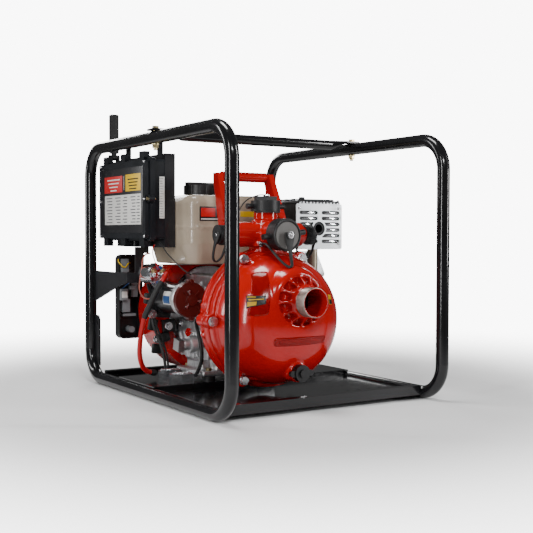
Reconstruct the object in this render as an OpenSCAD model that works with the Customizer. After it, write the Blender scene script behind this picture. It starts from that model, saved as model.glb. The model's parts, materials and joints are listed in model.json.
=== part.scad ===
// Portable fire pump: engine driven twin stage pump in a tubular roll frame.
// Units are millimetres. Origin on the floor under the frame centre, +Z up, suction port facing -Y.

/* [Frame] */
// overall length of the tubular hoops, front to back
frame_length = 693.3; // [600:0.1:860]
// distance between the two hoop planes
hoop_spacing = 507; // [500:1:640]
// overall height of the hoops
frame_height = 562.5; // [540:0.5:700]
// outside diameter of the hoop tube
hoop_tube_d = 26.9; // [21.3:0.1:33.7]
// wall of the hoop tube
hoop_wall = 2.6; // [2:0.1:4]
// centreline radius of the hoop bends
bend_radius = 65; // [50:1:90]
// thickness of the base and engine plates
sheet_t = 3; // [2:0.5:4]
// diameter of the top crossbar tube
crossbar_d = 22; // [18:0.5:26]

/* [Engine] */
// sideways offset of the crankshaft from the frame centre
axis_offset = -46; // [-60:1:-30]
// height of the crankshaft above the engine feet
crank_height = 132.5; // [125:0.5:165]
// height of the rubber mounts
mount_height = 12.5; // [8:0.5:20]
// length of the fuel tank across the frame
tank_length = 211; // [190:1:225]
// height of the fuel tank
tank_height = 151; // [120:1:185]
// diameter of the starter motor
starter_d = 73; // [60:1:80]
// tilt of the cylinder above horizontal
cylinder_tilt = 25; // [20:1:26]
// diameter of the crankshaft journals
journal_d = 35; // [28:1:42]

/* [Pump] */
// diameter of the pump flange
flange_d = 292; // [270:1:300]
// bolt circle of the cover bolts
bolt_circle_d = 286; // [270:1:300]
// outside diameter of the suction thread
suction_d = 59.6; // [48:0.1:75]
// diameter of the impellers
impeller_d = 158; // [130:1:200]
// diameter of the front outlet thread
outlet_d = 48; // [40:0.5:56]
// diameter of the side outlet threads
side_outlet_d = 33.2; // [26:0.2:38]
// radial running clearance of turning parts
running_gap = 0.06; // [0.03:0.01:0.1]

/* [Control box] */
// length of the control box
box_length = 256; // [210:1:262]
// height of the control box
box_height = 180; // [140:1:190]
// length of the antenna paddle
antenna_length = 92; // [80:1:120]

/* [Hidden] */
$fn = 64;
tube_r = hoop_tube_d / 2;
hoop_x = hoop_spacing / 2;
leg_y = frame_length / 2 - tube_r;
low_z = tube_r;
high_z = frame_height - tube_r;
plate_top = hoop_tube_d + sheet_t;
feet_z = plate_top + mount_height;
axis_z = feet_z + crank_height;
bolt_y = -20;
journal_r = journal_d / 2;
shaft_r = 12.7;
starter_r = starter_d / 2;
starter_x = -87.5 - starter_r;
foot_x = 70;
starter_z = 35;
flange_r = flange_d / 2;
bolt_circle_r = bolt_circle_d / 2;
suction_r = suction_d / 2;
bore_r = suction_r - 3.3;
port_z = 41;
impeller_r = impeller_d / 2;
outlet_r = outlet_d / 2;
side_r = side_outlet_d / 2;
black_c = [0.09, 0.09, 0.10];
red_c = [0.80, 0.06, 0.05];
steel_c = [0.72, 0.73, 0.75];
alu_c = [0.62, 0.63, 0.65];
cream_c = [0.80, 0.76, 0.67];
rubber_c = [0.06, 0.06, 0.06];

module span(x0, x1, y0, y1, z0, z1) {
  translate([x0, y0, z0]) cube([x1 - x0, y1 - y0, z1 - z0]);
}

module rod_x(y, z, r, x0, x1) {
  translate([x0, y, z]) rotate([0, 90, 0]) cylinder(h = x1 - x0, r = r);
}

module rod_y(x, z, r, y0, y1) {
  translate([x, y1, z]) rotate([90, 0, 0]) cylinder(h = y1 - y0, r = r);
}

module rod_z(x, y, r, z0, z1) {
  translate([x, y, z0]) cylinder(h = z1 - z0, r = r);
}

module cone_y(x, z, r0, r1, y0, y1) {
  translate([x, y0, z]) rotate([-90, 0, 0]) cylinder(h = y1 - y0, r1 = r0, r2 = r1);
}

module hex_y(x, z, across, y0, y1) {
  translate([x, y1, z]) rotate([90, 0, 0]) cylinder(h = y1 - y0, r = across / 1.732, $fn = 6);
}

module hex_z(x, y, across, z0, z1) {
  translate([x, y, z0]) cylinder(h = z1 - z0, r = across / 1.732, $fn = 6);
}

module round_flat(w, h, r) {
  union() {
    translate([-w / 2 + r, -h / 2]) square([w - 2 * r, h]);
    translate([-w / 2, -h / 2 + r]) square([w, h - 2 * r]);
    for (sx = [-1, 1]) {
      for (sy = [-1, 1]) {
        translate([sx * (w / 2 - r), sy * (h / 2 - r)]) circle(r = r);
      }
    }
  }
}

// rounded slab with its face normal along X
module slab_x(x0, x1, yc, zc, w, h, r) {
  translate([x0, yc, zc]) rotate([90, 0, 90]) linear_extrude(height = x1 - x0) round_flat(w, h, r);
}

// rounded slab with its face normal along Y
module slab_y(y0, y1, xc, zc, w, h, r) {
  translate([xc, y1, zc]) rotate([90, 0, 0]) linear_extrude(height = y1 - y0) round_flat(w, h, r);
}

// rounded slab with its face normal along Z
module slab_z(z0, z1, xc, yc, w, h, r) {
  translate([xc, yc, z0]) linear_extrude(height = z1 - z0) round_flat(w, h, r);
}

module at_axis() {
  translate([axis_offset, 0, axis_z]) children();
}

module tilted() {
  rotate([0, -cylinder_tilt, 0]) children();
}

// ---------- frame ----------

module hoop_run(r) {
  y = leg_y - bend_radius;
  z0 = low_z + bend_radius;
  z1 = high_z - bend_radius;
  rod_y(0, low_z, r, -y, y);
  rod_y(0, high_z, r, -y, y);
  for (s = [-1, 1]) {
    rod_z(0, s * leg_y, r, z0, z1);
  }
  translate([0, y, z0]) rotate([90, 0, 90]) rotate_extrude(angle = 90, start = -90)
    translate([bend_radius, 0]) circle(r = r);
  translate([0, y, z1]) rotate([90, 0, 90]) rotate_extrude(angle = 90, start = 0)
    translate([bend_radius, 0]) circle(r = r);
  translate([0, -y, z1]) rotate([90, 0, 90]) rotate_extrude(angle = 90, start = 90)
    translate([bend_radius, 0]) circle(r = r);
  translate([0, -y, z0]) rotate([90, 0, 90]) rotate_extrude(angle = 90, start = 180)
    translate([bend_radius, 0]) circle(r = r);
}

module hoop(x) {
  color(black_c) difference() {
    translate([x, 0, 0]) hoop_run(tube_r);
    translate([x, 0, 0]) hoop_run(tube_r - hoop_wall);
    rod_z(x, bolt_y, 4.2, high_z - tube_r - 2, high_z + tube_r + 2);
  }
}

module left_hoop() {
  hoop(-hoop_x);
}

module right_hoop() {
  hoop(hoop_x);
}

bar_z = frame_height + 4 - crossbar_d / 2;

module bar_tab(s) {
  hull() {
    translate([s * (hoop_x - 62), bolt_y, bar_z]) rotate([0, 90, 0])
      cylinder(h = 1, r = crossbar_d / 2, center = true);
    translate([s * (hoop_x - 24), bolt_y, frame_height + 2]) cube([1, 30, 4], center = true);
  }
}

module top_crossbar() {
  tab_top = frame_height + 4;
  color(black_c) difference() {
    union() {
      rod_x(bolt_y, bar_z, crossbar_d / 2, -hoop_x + 62, hoop_x - 62);
      bar_tab(-1);
      bar_tab(1);
      span(-hoop_x - 12, -hoop_x + 24, bolt_y - 15, bolt_y + 15, frame_height, tab_top);
      span(hoop_x - 24, hoop_x + 12, bolt_y - 15, bolt_y + 15, frame_height, tab_top);
    }
    rod_z(-hoop_x, bolt_y, 4.2, frame_height - 2, tab_top + 2);
    rod_z(hoop_x, bolt_y, 4.2, frame_height - 2, tab_top + 2);
  }
}

module m8_bolt(x, y, z_head, z_nut, z_end) {
  hex_z(x, y, 13, z_head, z_head + 5.5);
  rod_z(x, y, 4, z_end, z_head);
  difference() {
    rod_z(x, y, 8, z_nut - 1.6, z_nut);
    rod_z(x, y, 4.1, z_nut - 3, z_nut + 1);
  }
  difference() {
    hex_z(x, y, 13, z_nut - 8.1, z_nut - 1.6);
    rod_z(x, y, 4.1, z_nut - 10, z_nut + 1);
  }
}

mount_x = [-70, 70];
mount_y = [2, 98];

module frame_bolts() {
  color(steel_c) {
    at_axis() for (s = [-1, 1]) {
      translate([s * foot_x, -74, 0]) {
        rod_z(0, 0, 4, man_z - 18, man_z + 13);
        hex_z(0, 0, 13, man_z + 13, man_z + 18);
        difference() {
          hex_z(0, 0, 13, man_z - 16, man_z - 9);
          rod_z(0, 0, 4, man_z - 20, man_z);
        }
      }
    }
    for (s = [-1, 1]) {
      rod_x(box_yc + s * (box_length / 2 + 1), box_zc, 3.7, lid_x + 2, lid_x + 5);
      rod_x(box_yc + s * (box_length / 2 + 1), box_zc, 2, lid_x + 5, split_x + 5);
    }
  }
  color([0.75, 0.66, 0.42]) {
    for (s = [-1, 1]) {
      m8_bolt(s * hoop_x, bolt_y, frame_height + 4, high_z - tube_r, high_z - tube_r - 13);
    }
    for (x = mount_x) {
      for (y = mount_y) {
        m8_bolt(axis_offset + x, y, feet_z + 11, plate_top - sheet_t, plate_top - sheet_t - 8.6);
      }
    }
  }
}

pan_z = 15;
pan_x = hoop_x - tube_r;
lip_y = leg_y - 50;

module base_pan() {
  color(black_c) difference() {
    union() {
      span(-pan_x, pan_x, -lip_y, lip_y, pan_z, pan_z + sheet_t);
      for (s = [-1, 1]) {
        translate([0, s * lip_y, 0]) span(-pan_x, pan_x, -sheet_t / 2, sheet_t / 2, 10, plate_top);
        translate([0, s * (lip_y - 8), 0]) span(-pan_x, pan_x, -8, 8, plate_top - sheet_t, plate_top);
      }
    }
    for (i = [0:3]) {
      for (j = [0:1]) {
        rod_z(110 + i * 28, -200 + j * 60, 3, pan_z - 1, pan_z + sheet_t + 1);
      }
    }
    for (x = mount_x) {
      for (y = mount_y) {
        rod_z(axis_offset + x, y, 9, pan_z - 1, pan_z + sheet_t + 1);
      }
    }
  }
}

module engine_plate() {
  color(black_c) difference() {
    union() {
      span(-hoop_x, hoop_x, -10, 168, hoop_tube_d, plate_top);
      span(-pan_x, pan_x, -10, -10 + sheet_t, pan_z + sheet_t, hoop_tube_d);
      span(-pan_x, pan_x, 165, 168, pan_z + sheet_t, hoop_tube_d);
    }
    for (x = mount_x) {
      for (y = mount_y) {
        rod_z(axis_offset + x, y, 4.2, hoop_tube_d - 1, plate_top + 1);
      }
    }
  }
}

module rubber_mounts() {
  color(rubber_c) for (x = mount_x) {
    for (y = mount_y) {
      difference() {
        rod_z(axis_offset + x, y, 14, plate_top, feet_z);
        rod_z(axis_offset + x, y, 4.2, plate_top - 1, feet_z + 1);
      }
    }
  }
}

// ---------- control box and its carrier ----------

lid_x = -hoop_x + 8.5;
split_x = lid_x + 18;
back_x = split_x + 30;
box_y1 = 302.2;  // the box stands over the engine, whatever the frame's length
box_y0 = box_y1 - box_length;
box_yc = (box_y0 + box_y1) / 2;
box_z1 = frame_height - 47.5;
box_z0 = box_z1 - box_height;
box_zc = (box_z0 + box_z1) / 2;
tray_z0 = box_z0 - 14;
tray_z1 = box_z1 + 9;
post_y = box_y0 + 92;
plate_x = -hoop_x + 5.5;
gusset_z = frame_height / 2 - 18;

module box_bracket() {
  color(black_c) {
    difference() {
      union() {
        translate([plate_x, 0, 0]) rotate([90, 0, 90]) linear_extrude(height = 4)
          polygon([[post_y, gusset_z], [leg_y, gusset_z], [leg_y, gusset_z - 75], [post_y + 30, gusset_z - 26],
            [post_y, gusset_z - 22]]);
        span(plate_x, back_x - 9, post_y, post_y + 4, gusset_z - 22, gusset_z);
        span(plate_x + 21, back_x - 9, post_y, post_y + 4, gusset_z - 1, tray_z0);
        span(plate_x + 21, back_x + 3, post_y, post_y + 4, tray_z0 - 14, tray_z0);
      }
      rod_z(-hoop_x, leg_y, tube_r, gusset_z - 90, gusset_z + 20);
    }
    difference() {
      translate([plate_x, 0, 0]) rotate([90, 0, 90]) linear_extrude(height = 4)
        polygon([[leg_y - 36, 40], [leg_y - 36, 148], [leg_y - 28, 158], [leg_y, 158], [leg_y, 40]]);
      translate([-hoop_x, 0, 0]) hoop_run(tube_r);
      rod_x(leg_y - 25, 140, 5, plate_x - 1, plate_x + 5);
    }
  }
}

module box_tray() {
  color(black_c) {
    difference() {
      union() {
        span(back_x, back_x + 3, box_y0 + 4, box_y1 + 4, tray_z0, tray_z1);
        span(back_x, back_x + 24, box_y0 + 4, box_y0 + 7, tray_z0, tray_z1);
        span(back_x, back_x + 24, box_y1 + 1, box_y1 + 4, tray_z0, tray_z1);
        for (y = [box_y0 + 20, box_y1 - 70]) {
          span(back_x, back_x + 3, y, y + 24, tray_z1, high_z + 2);
          span(-hoop_x, back_x + 3, y, y + 24, high_z - 2, high_z + 2);
        }
      }
      rod_y(-hoop_x, high_z, tube_r, box_y0, box_y1 + 20);
    }
  }
}

hinge_y = box_y1 - 12;
hinge_z = box_z1 + 14;
hinge_x = lid_x + 33;

module box_base() {
  color(black_c) difference() {
    union() {
      slab_x(split_x, back_x, box_yc, box_zc, box_length - 10, box_height - 8, 6);
      slab_x(split_x, split_x + 5, box_yc, box_zc, box_length, box_height, 8);
      for (y = [box_y0 + 75, box_yc, box_yc + 35]) {
        rod_z(split_x + 16, y, 9, box_z0 - 14, box_z0 + 8);
      }
      for (s = [-1, 1]) {
        translate([hinge_x + s * 9.5, hinge_y, 0]) span(-2.5, 2.5, -7, 7, box_z1 - 8, hinge_z);
        rod_x(hinge_y, hinge_z, 7, hinge_x + s * 9.5 - 2.5, hinge_x + s * 9.5 + 2.5);
      }
    }
    slab_x(split_x - 1, back_x - 3, box_yc, box_zc, box_length - 16, box_height - 14, 4);
    rod_x(hinge_y, hinge_z, 2.5 + running_gap, hinge_x - 20, hinge_x + 20);
    for (s = [-1, 1]) {
      rod_x(box_yc + s * (box_length / 2 + 1), box_zc, 2.2, split_x - 1, split_x + 6);
    }
  }
}

module box_lid() {
  color([0.11, 0.12, 0.13]) difference() {
    union() {
      slab_x(lid_x, split_x, box_yc, box_zc, box_length - 6, box_height - 10, 7);
      slab_x(split_x - 7, split_x, box_yc, box_zc, box_length, box_height, 8);
      for (y = [-1, 0, 1]) {
        for (s = [-1, 1]) {
          translate([0, box_yc + y * (box_length / 2 - 30), box_zc + s * (box_height / 2)])
            span(lid_x + 4, split_x, -12, 12, s < 0 ? -13 : -7, s < 0 ? 7 : 13);
        }
      }
      for (s = [-1, 1]) {
        rod_x(box_yc + s * (box_length / 2 + 1), box_zc, 8, lid_x + 5, split_x);
      }
    }
    slab_x(lid_x + 3, split_x + 1, box_yc, box_zc, box_length - 24, box_height - 24, 6);
    for (s = [-1, 1]) {
      rod_x(box_yc + s * (box_length / 2 + 1), box_zc, 2.2, lid_x, split_x + 1);
    }
  }
}

module box_electronics() {
  color([0.08, 0.35, 0.16]) {
    for (s = [-1, 1]) {
      rod_x(box_yc + s * 80, box_zc, 3, back_x - 9, back_x - 3);
    }
    span(back_x - 10.6, back_x - 9, box_y0 + 25, box_y1 - 25, box_z0 + 20, box_z1 - 20);
    span(back_x - 24, back_x - 10.6, box_yc - 50, box_yc - 10, box_zc - 20, box_zc + 20);
    span(back_x - 20, back_x - 10.6, box_yc + 20, box_yc + 60, box_zc - 30, box_zc + 10);
  }
}

module antenna() {
  color([0.10, 0.10, 0.11]) {
    rod_x(hinge_y, hinge_z, 6, hinge_x - 6.7, hinge_x + 6.7);
    rod_x(hinge_y, hinge_z, 2.5, hinge_x - 12, hinge_x + 12);
    span(hinge_x - 5, hinge_x + 5, hinge_y - 4, hinge_y + 4, hinge_z, hinge_z + 12);
    slab_y(hinge_y - 4.5, hinge_y + 4.5, hinge_x, hinge_z + 10 + antenna_length / 2, 21, antenna_length, 4);
  }
}

// ---------- engine ----------

block_d0 = 78;
block_d1 = 150;
head_d1 = 215;
rocker_d1 = 255;

module crankcase() {
  color(alu_c) at_axis() difference() {
    union() {
      span(-92, 92, -14, 114, -crank_height, -crank_height + 11);
      span(-80, 88, -12, 112, -crank_height + 11, -100);
      span(-84, 92, -18, 118, -100, -17);
      span(-68, 80, -18, 118, -17, 86);
      rod_y(-30, 52, 8, -22, -18);
      rod_y(-60, -60, 8, -22, -18);
      rod_x(5, -62, 13, -134, -84);
    }
    rod_x(5, -62, 7, -135, -55);
    rod_y(0, 0, 66, 4, 96);
    rod_y(0, 0, journal_r + running_gap, -19, 119);
    tilted() span(block_d0, 200, -3, 105, -59, 59);
    tilted() rod_x(50, 0, 44, 0, 80);
    for (x = mount_x) {
      for (y = mount_y) {
        rod_z(x, y, 4.2, -crank_height - 1, -crank_height + 12);
        rod_z(x, y, 9, -crank_height + 11, -90);
      }
    }
    // windows that clear the mounting bolts at the four corners
    span(-93, -58, -19, 14, -crank_height + 11, -96);
    span(-93, -58, 86, 119, -crank_height + 11, -96);
    span(58, 93, -19, 14, -crank_height + 11, -96);
    span(58, 93, 86, 119, -crank_height + 11, -96);
  }
}

module crankcase_cover() {
  color(alu_c) at_axis() difference() {
    union() {
      rod_y(0, 0, 88, -30, -18);
      for (a = [30:60:330]) {
        rod_y(86 * cos(a), 86 * sin(a), 9, -30, -18);
      }
    }
    rod_y(0, 0, journal_r + 1, -31, -17);
    rod_y(-30, 52, 8.2, -31, -17);
    rod_y(-60, -60, 8.2, -31, -17);
    rod_y(starter_x, starter_z, starter_r + 3, -20.4, -17);
  }
}

module cylinder_block() {
  color(alu_c) at_axis() tilted() difference() {
    union() {
      span(block_d0, block_d1, 6, 96, -46, 46);
      for (i = [0:6]) {
        span(block_d0 + i * 10.5, block_d0 + 4 + i * 10.5, -3, 105, -56, 56);
      }
      span(block_d1 - 5, block_d1, -3, 105, -54, 54);
    }
    rod_x(50, 0, 44, block_d0 - 1, block_d1 + 1);
  }
}

module cylinder_head() {
  color(alu_c) at_axis() tilted() difference() {
    union() {
      span(block_d1, head_d1, 4, 98, -44, 40);
      for (i = [0:5]) {
        span(block_d1 + i * 11, block_d1 + 4 + i * 11, -5, 106, -50, 46);
      }
      span(block_d1 + 28, head_d1, -5, 106, -22, 22);
      span(head_d1 - 6, head_d1, 0, 102, -44, 40);
    }
    rod_x(50, 0, 40, block_d1 - 1, block_d1 + 10);
    rod_y(182, 0, 12, -6, 20);
    rod_y(182, 0, 12, 80, 107);
  }
}

module rocker_cover() {
  color([0.70, 0.71, 0.72]) at_axis() tilted() difference() {
    union() {
      translate([head_d1, 50, -2]) rotate([90, 0, 90]) linear_extrude(height = 6) round_flat(100, 78, 12);
      translate([head_d1, 50, -2]) rotate([90, 0, 90]) linear_extrude(height = rocker_d1 - head_d1)
        round_flat(88, 66, 14);
    }
    translate([head_d1 - 1, 50, -2]) rotate([90, 0, 90]) linear_extrude(height = rocker_d1 - head_d1 - 2)
      round_flat(82, 60, 11);
  }
}

fan_r = 143;
fan_low = -129;
fan_high = 105;

module fan_shape(r, lo, hi, y0, y1) {
  intersection() {
    rod_y(0, 0, r, y0, y1);
    span(-r - 5, r + 5, y0 - 1, y1 + 1, lo, hi);
  }
}

module fan_cover() {
  color(red_c) at_axis() difference() {
    fan_shape(fan_r, fan_low, fan_high, 118, 205);
    fan_shape(fan_r - 3, fan_low + 3, fan_high - 3, 121, 202);
    rod_y(0, 0, 108, 117, 122);
    rod_y(0, 0, 92, 201, 206);
    rod_y(starter_x, starter_z, 24, 117, 122);
  }
}

rope_x = 55;
rope_y = 220;

module recoil_cover() {
  color(red_c) at_axis() difference() {
    union() {
      rod_y(0, 0, 104, 205, 238);
      cone_y(0, 0, 104, 86, 238, 252);
      rod_z(rope_x, rope_y, 12, 60, 105);
    }
    difference() {
      rod_y(0, 0, 98, 204, 236);
      rod_y(0, 0, 16, 208, 237);
    }
    rod_y(0, 0, 6, 200, 232);
    rod_z(rope_x, rope_y, 4, 40, 106);
    for (a = [0:30:330]) {
      rotate([0, a, 0]) span(48, 78, 230, 260, -4, 4);
    }
  }
}

module recoil_pulley() {
  color([0.85, 0.85, 0.82]) at_axis() difference() {
    union() {
      rod_y(0, 0, 60, 209, 214);
      rod_y(0, 0, 52, 214, 226);
      rod_y(0, 0, 60, 226, 231);
    }
    rod_y(0, 0, 16 + running_gap, 207.5, 232);
    for (a = [0:60:300]) {
      rotate([0, a, 0]) rod_y(34, 0, 8, 200, 240);
    }
  }
}

grip_z = 117;

module recoil_grip() {
  color(rubber_c) at_axis() {
    rod_x(rope_y, grip_z, 10, rope_x - 40, rope_x + 40);
    rod_z(rope_x, rope_y, 9, 105.4, grip_z);
  }
}

module recoil_rope() {
  color([0.85, 0.85, 0.85]) at_axis() rod_z(rope_x, rope_y, 2.2, 0, 105.4);
}

tank_x0 = 86 - tank_length;
tank_x1 = 86;
tank_y0 = -12;
tank_y1 = 200;
tank_z0 = 109;
tank_z1 = tank_z0 + tank_height;
cap_x = -45;
cap_y = 90;

module tank_body(g) {
  r = 34 - g;
  hull() {
    for (x = [tank_x0 + 34, tank_x1 - 34]) {
      for (y = [tank_y0 + 34, tank_y1 - 34]) {
        translate([x, y, tank_z1 - 22]) rotate_extrude($fn = 32) intersection() {
          translate([r - 22 + g, 0]) circle(r = 22 - g, $fn = 32);
          translate([0, -30]) square([60, 60]);
        }
        translate([x, y, tank_z0 + 45]) cylinder(h = 1, r = r, $fn = 32);
        translate([x * 0.96 + 0.04 * (tank_x0 + tank_x1) / 2, y * 0.94 + 0.06 * 94, tank_z0 + g])
          cylinder(h = 1, r = r - 8, $fn = 32);
      }
    }
  }
}

module fuel_tank() {
  color(cream_c) at_axis() difference() {
    union() {
      tank_body(0);
      rod_z(cap_x, cap_y, 29, tank_z1 - 4, tank_z1 + 3);
      slab_z(tank_z0 + 79, tank_z0 + 82, (tank_x0 + tank_x1) / 2, 94, tank_length + 3, 215, 35);
    }
    tank_body(3);
    rod_z(cap_x, cap_y, 22, tank_z1 - 10, tank_z1 + 10);
  }
}

module fuel_cap() {
  color(black_c) at_axis() difference() {
    union() {
      rod_z(cap_x, cap_y, 34.5, tank_z1 + 3.4, tank_z1 + 24);
      translate([cap_x, cap_y, 0]) span(-33, 33, -8, 8, tank_z1 + 23, tank_z1 + 31);
      rod_z(cap_x, cap_y, 21.5, tank_z1 - 8, tank_z1 + 4);
      for (a = [0:30:330]) {
        rod_z(cap_x + 33 * cos(a), cap_y + 33 * sin(a), 3, tank_z1 + 3.4, tank_z1 + 24);
      }
    }
    rod_z(cap_x, cap_y, 18, tank_z1 - 9, tank_z1 + 10);
  }
}

module carburettor() {
  color([0.55, 0.56, 0.58]) at_axis() difference() {
    union() {
      span(146, 178, 106, 150, 62, 98);
      rod_z(162, 128, 14.5, 34, 62);
      span(146, 178, 112, 142, 98, 144);
      span(96, 150, 138, 146, 106, 112);
    }
    rod_y(162, 80, 11, 105, 135);
    rod_z(162, 128, 10, 75, 145);
    rod_y(171, 86, 3.06, 140, 151);
    rod_y(153, 68, 3.06, 140, 151);
    rod_z(106, 143, 2.06, 105, 113);
  }
}

module choke_lever() {
  color(black_c) at_axis() {
    rod_y(171, 86, 3, 141, 156);
    translate([171, 0, 86]) span(-5, 42, 152, 155, -5, 5);
  }
}

module fuel_tap_lever() {
  color(black_c) at_axis() {
    rod_y(153, 68, 3, 141, 156);
    translate([153, 0, 68]) span(-5, 36, 152, 155, -18, -9);
    translate([153, 0, 68]) span(-5, 6, 152, 155, -18, 5);
  }
}

module throttle_lever() {
  color(black_c) at_axis() {
    rod_z(106, 143, 2, 105.6, 116);
    translate([106, 143, 0]) span(-5, 5, -5, 66, 112.4, 115.4);
    rod_z(106, 204, 6, 112.4, 124);
  }
}

module air_cleaner() {
  color(black_c) at_axis() difference() {
    union() {
      slab_z(144, 152, 172, 152, 118, 112, 16);
      slab_z(152, 244, 172, 152, 112, 106, 20);
      slab_z(244, 252, 172, 152, 92, 86, 16);
      rod_z(172, 152, 9, 252, 260);
    }
    slab_z(149, 240, 172, 152, 106, 100, 17);
    rod_z(162, 128, 10, 143, 150);
  }
}

muf_x0 = 127;
muf_x1 = 254;

module muffler() {
  color([0.12, 0.12, 0.12]) at_axis() difference() {
    union() {
      slab_y(-40, 68, (muf_x0 + muf_x1) / 2, 194, muf_x1 - muf_x0 - 6, 92, 14);
      span(muf_x0, muf_x1, -38, 72, 240, 243);
      span(muf_x0, muf_x0 + 2, -38, 72, 150, 240);
      rod_y(190, 188, 13, -43, -40);
    }
    slab_y(-37, 65, (muf_x0 + muf_x1) / 2, 194, muf_x1 - muf_x0 - 12, 86, 11);
    rod_y(190, 188, 10, -44, -30);
    rod_z(184, -26, 10, 146, 153);
    for (i = [0:9]) {
      translate([muf_x0 + 12 + i * 11, 0, 0]) span(0, 5, -30, 60, 239.5, 244);
    }
  }
}

module muffler_guard() {
  w = muf_x1 - muf_x0;
  color([0.80, 0.80, 0.80]) at_axis() difference() {
    union() {
      slab_y(-44, -41, (muf_x0 + muf_x1) / 2, 192.5, w, 103, 5);
      span(muf_x1 - 3, muf_x1, -44, 60, 146, 239);
      span(muf_x0 + 4, muf_x1 - 4, -41, -10, 142, 144);
      for (x = [muf_x0 + 10, muf_x1 - 14]) {
        translate([x, 0, 0]) span(0, 4, -41, -40, 185, 195);
      }
    }
    difference() {
      for (i = [0:5]) {
        for (j = [0, 1]) {
          slab_y(-46, -40, muf_x0 + 34 + j * 61, 159 + i * 13, 50, 8.4, 4.1);
        }
      }
      rod_y(190, 188, 19.5, -47, -39);
    }
    rod_y(190, 188, 16, -46, -40);
    rod_z(184, -26, 13, 141, 145);
  }
}

module exhaust_bend(r) {
  translate([184, -10, 100]) rotate([90, 0, 90]) rotate_extrude(angle = 90, start = 180)
    translate([16, 0]) circle(r = r);
}

module exhaust_pipe() {
  color([0.45, 0.40, 0.34]) at_axis() difference() {
    union() {
      slab_y(-10, -5, 180, 85, 50, 34, 8);
      exhaust_bend(12);
      rod_z(184, -26, 12, 100, 148);
    }
    exhaust_bend(10);
    rod_z(184, -26, 10, 100, 149);
    rod_y(184, 84, 10, -10, -4);
  }
}

module starter_motor() {
  color([0.15, 0.15, 0.16]) at_axis() difference() {
    union() {
      rod_y(starter_x, starter_z, starter_r, -8, 8);
      rod_y(starter_x, starter_z, starter_r - 3.5, 8, 96);
      rod_y(starter_x, starter_z, starter_r - 1, 96, 112);
      rod_y(starter_x, starter_z, 30, 112, 118);
      span(starter_x, -68, 112, 118, starter_z - 24, starter_z + 24);
      for (s = [-1, 1]) {
        rod_y(starter_x, starter_z + s * (starter_r + 1), 6, -8, 4);
      }
    }
    rod_y(starter_x, starter_z, starter_r - 8, -9, 92);
  }
}

module starter_cap() {
  color([0.30, 0.07, 0.06]) at_axis() {
    rod_y(starter_x, starter_z, starter_r + 1, -20, -8);
    rod_y(starter_x, starter_z, 12, -25, -20);
    for (s = [-1, 1]) {
      rod_y(starter_x, starter_z + s * (starter_r + 1), 7, -20, -8);
      hex_y(starter_x, starter_z + s * (starter_r + 3), 8, -24, -20);
    }
    for (a = [45:90:315]) {
      translate([starter_x, 0, starter_z]) rotate([0, a, 0]) span(11, 26, -22, -20, -1.5, 1.5);
    }
  }
}

sol_x = starter_x - 40;
sol_z = starter_z + 52;

module solenoid() {
  color(steel_c) at_axis() difference() {
    union() {
      rod_y(sol_x, sol_z, 22, 70, 112);
      rod_y(sol_x, sol_z, 20, 58, 70);
      for (s = [-1, 1]) {
        rod_y(sol_x + s * 10, sol_z, 3.5, 44, 58);
        hex_y(sol_x + s * 10, sol_z, 11, 49, 54);
      }
      translate([sol_x, 0, sol_z]) rotate([0, 52.4, 0]) span(0, 46, 80, 94, -13, 13);
    }
    rod_y(starter_x, starter_z, starter_r - 3.5, 8, 96.01);
    rod_y(starter_x, starter_z, starter_r - 1, 95.99, 112);
  }
}

module oil_cap() {
  color([0.40, 0.34, 0.30]) at_axis() {
    rod_x(5, -62, 6.9, -134.3, -112);
    translate([-148, 5, -62]) rotate([12, 0, 0]) span(0, 13.7, -12.5, 12.5, -12.5, 12.5);
  }
}

// a taller engine leaves the housing less room below the box
housing_drop = crank_height - 132.5;
key_z = 90 - housing_drop;

module control_housing() {
  color(black_c) at_axis() difference() {
    union() {
      slab_y(206, 230, -161, 31.5 - housing_drop / 2, 58, 193 - housing_drop, 12);
      rod_y(-161, key_z, 12, 230, 239);
    }
    slab_y(205, 227, -161, 31.5 - housing_drop / 2, 53, 188 - housing_drop, 9.5);
    rod_y(-161, key_z, 5.06, 226, 240);
  }
}

module control_parts() {
  box_electronics();
  color([0.70, 0.70, 0.70]) at_axis() {
    span(-186.5, -168, 203, 227, key_z - 14, key_z + 28);
    span(-181, -162, 209, 227, -4, 26);
    span(-158, -142, 211, 227, 30, 62);
    span(-178, -146, 213, 227, -14, -8);
    rod_y(-160, -44, 7, 203, 227);
  }
}

module ignition_key() {
  color(steel_c) at_axis() {
    rod_y(-161, key_z, 5, 228, 241);
    span(-162.2, -159.8, 241, 253, key_z - 6, key_z + 6);
    slab_x(-164, -158, 261, key_z, 18, 24, 5);
  }
}

// ---------- pump ----------

module ears(y0, y1) {
  for (a = [0:60:300]) {
    rod_y(bolt_circle_r * cos(a), bolt_circle_r * sin(a), 14, y0, y1);
  }
}

module bolt_holes(r, y0, y1) {
  for (a = [0:60:300]) {
    rod_y(bolt_circle_r * cos(a), bolt_circle_r * sin(a), r, y0, y1);
  }
}

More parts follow.
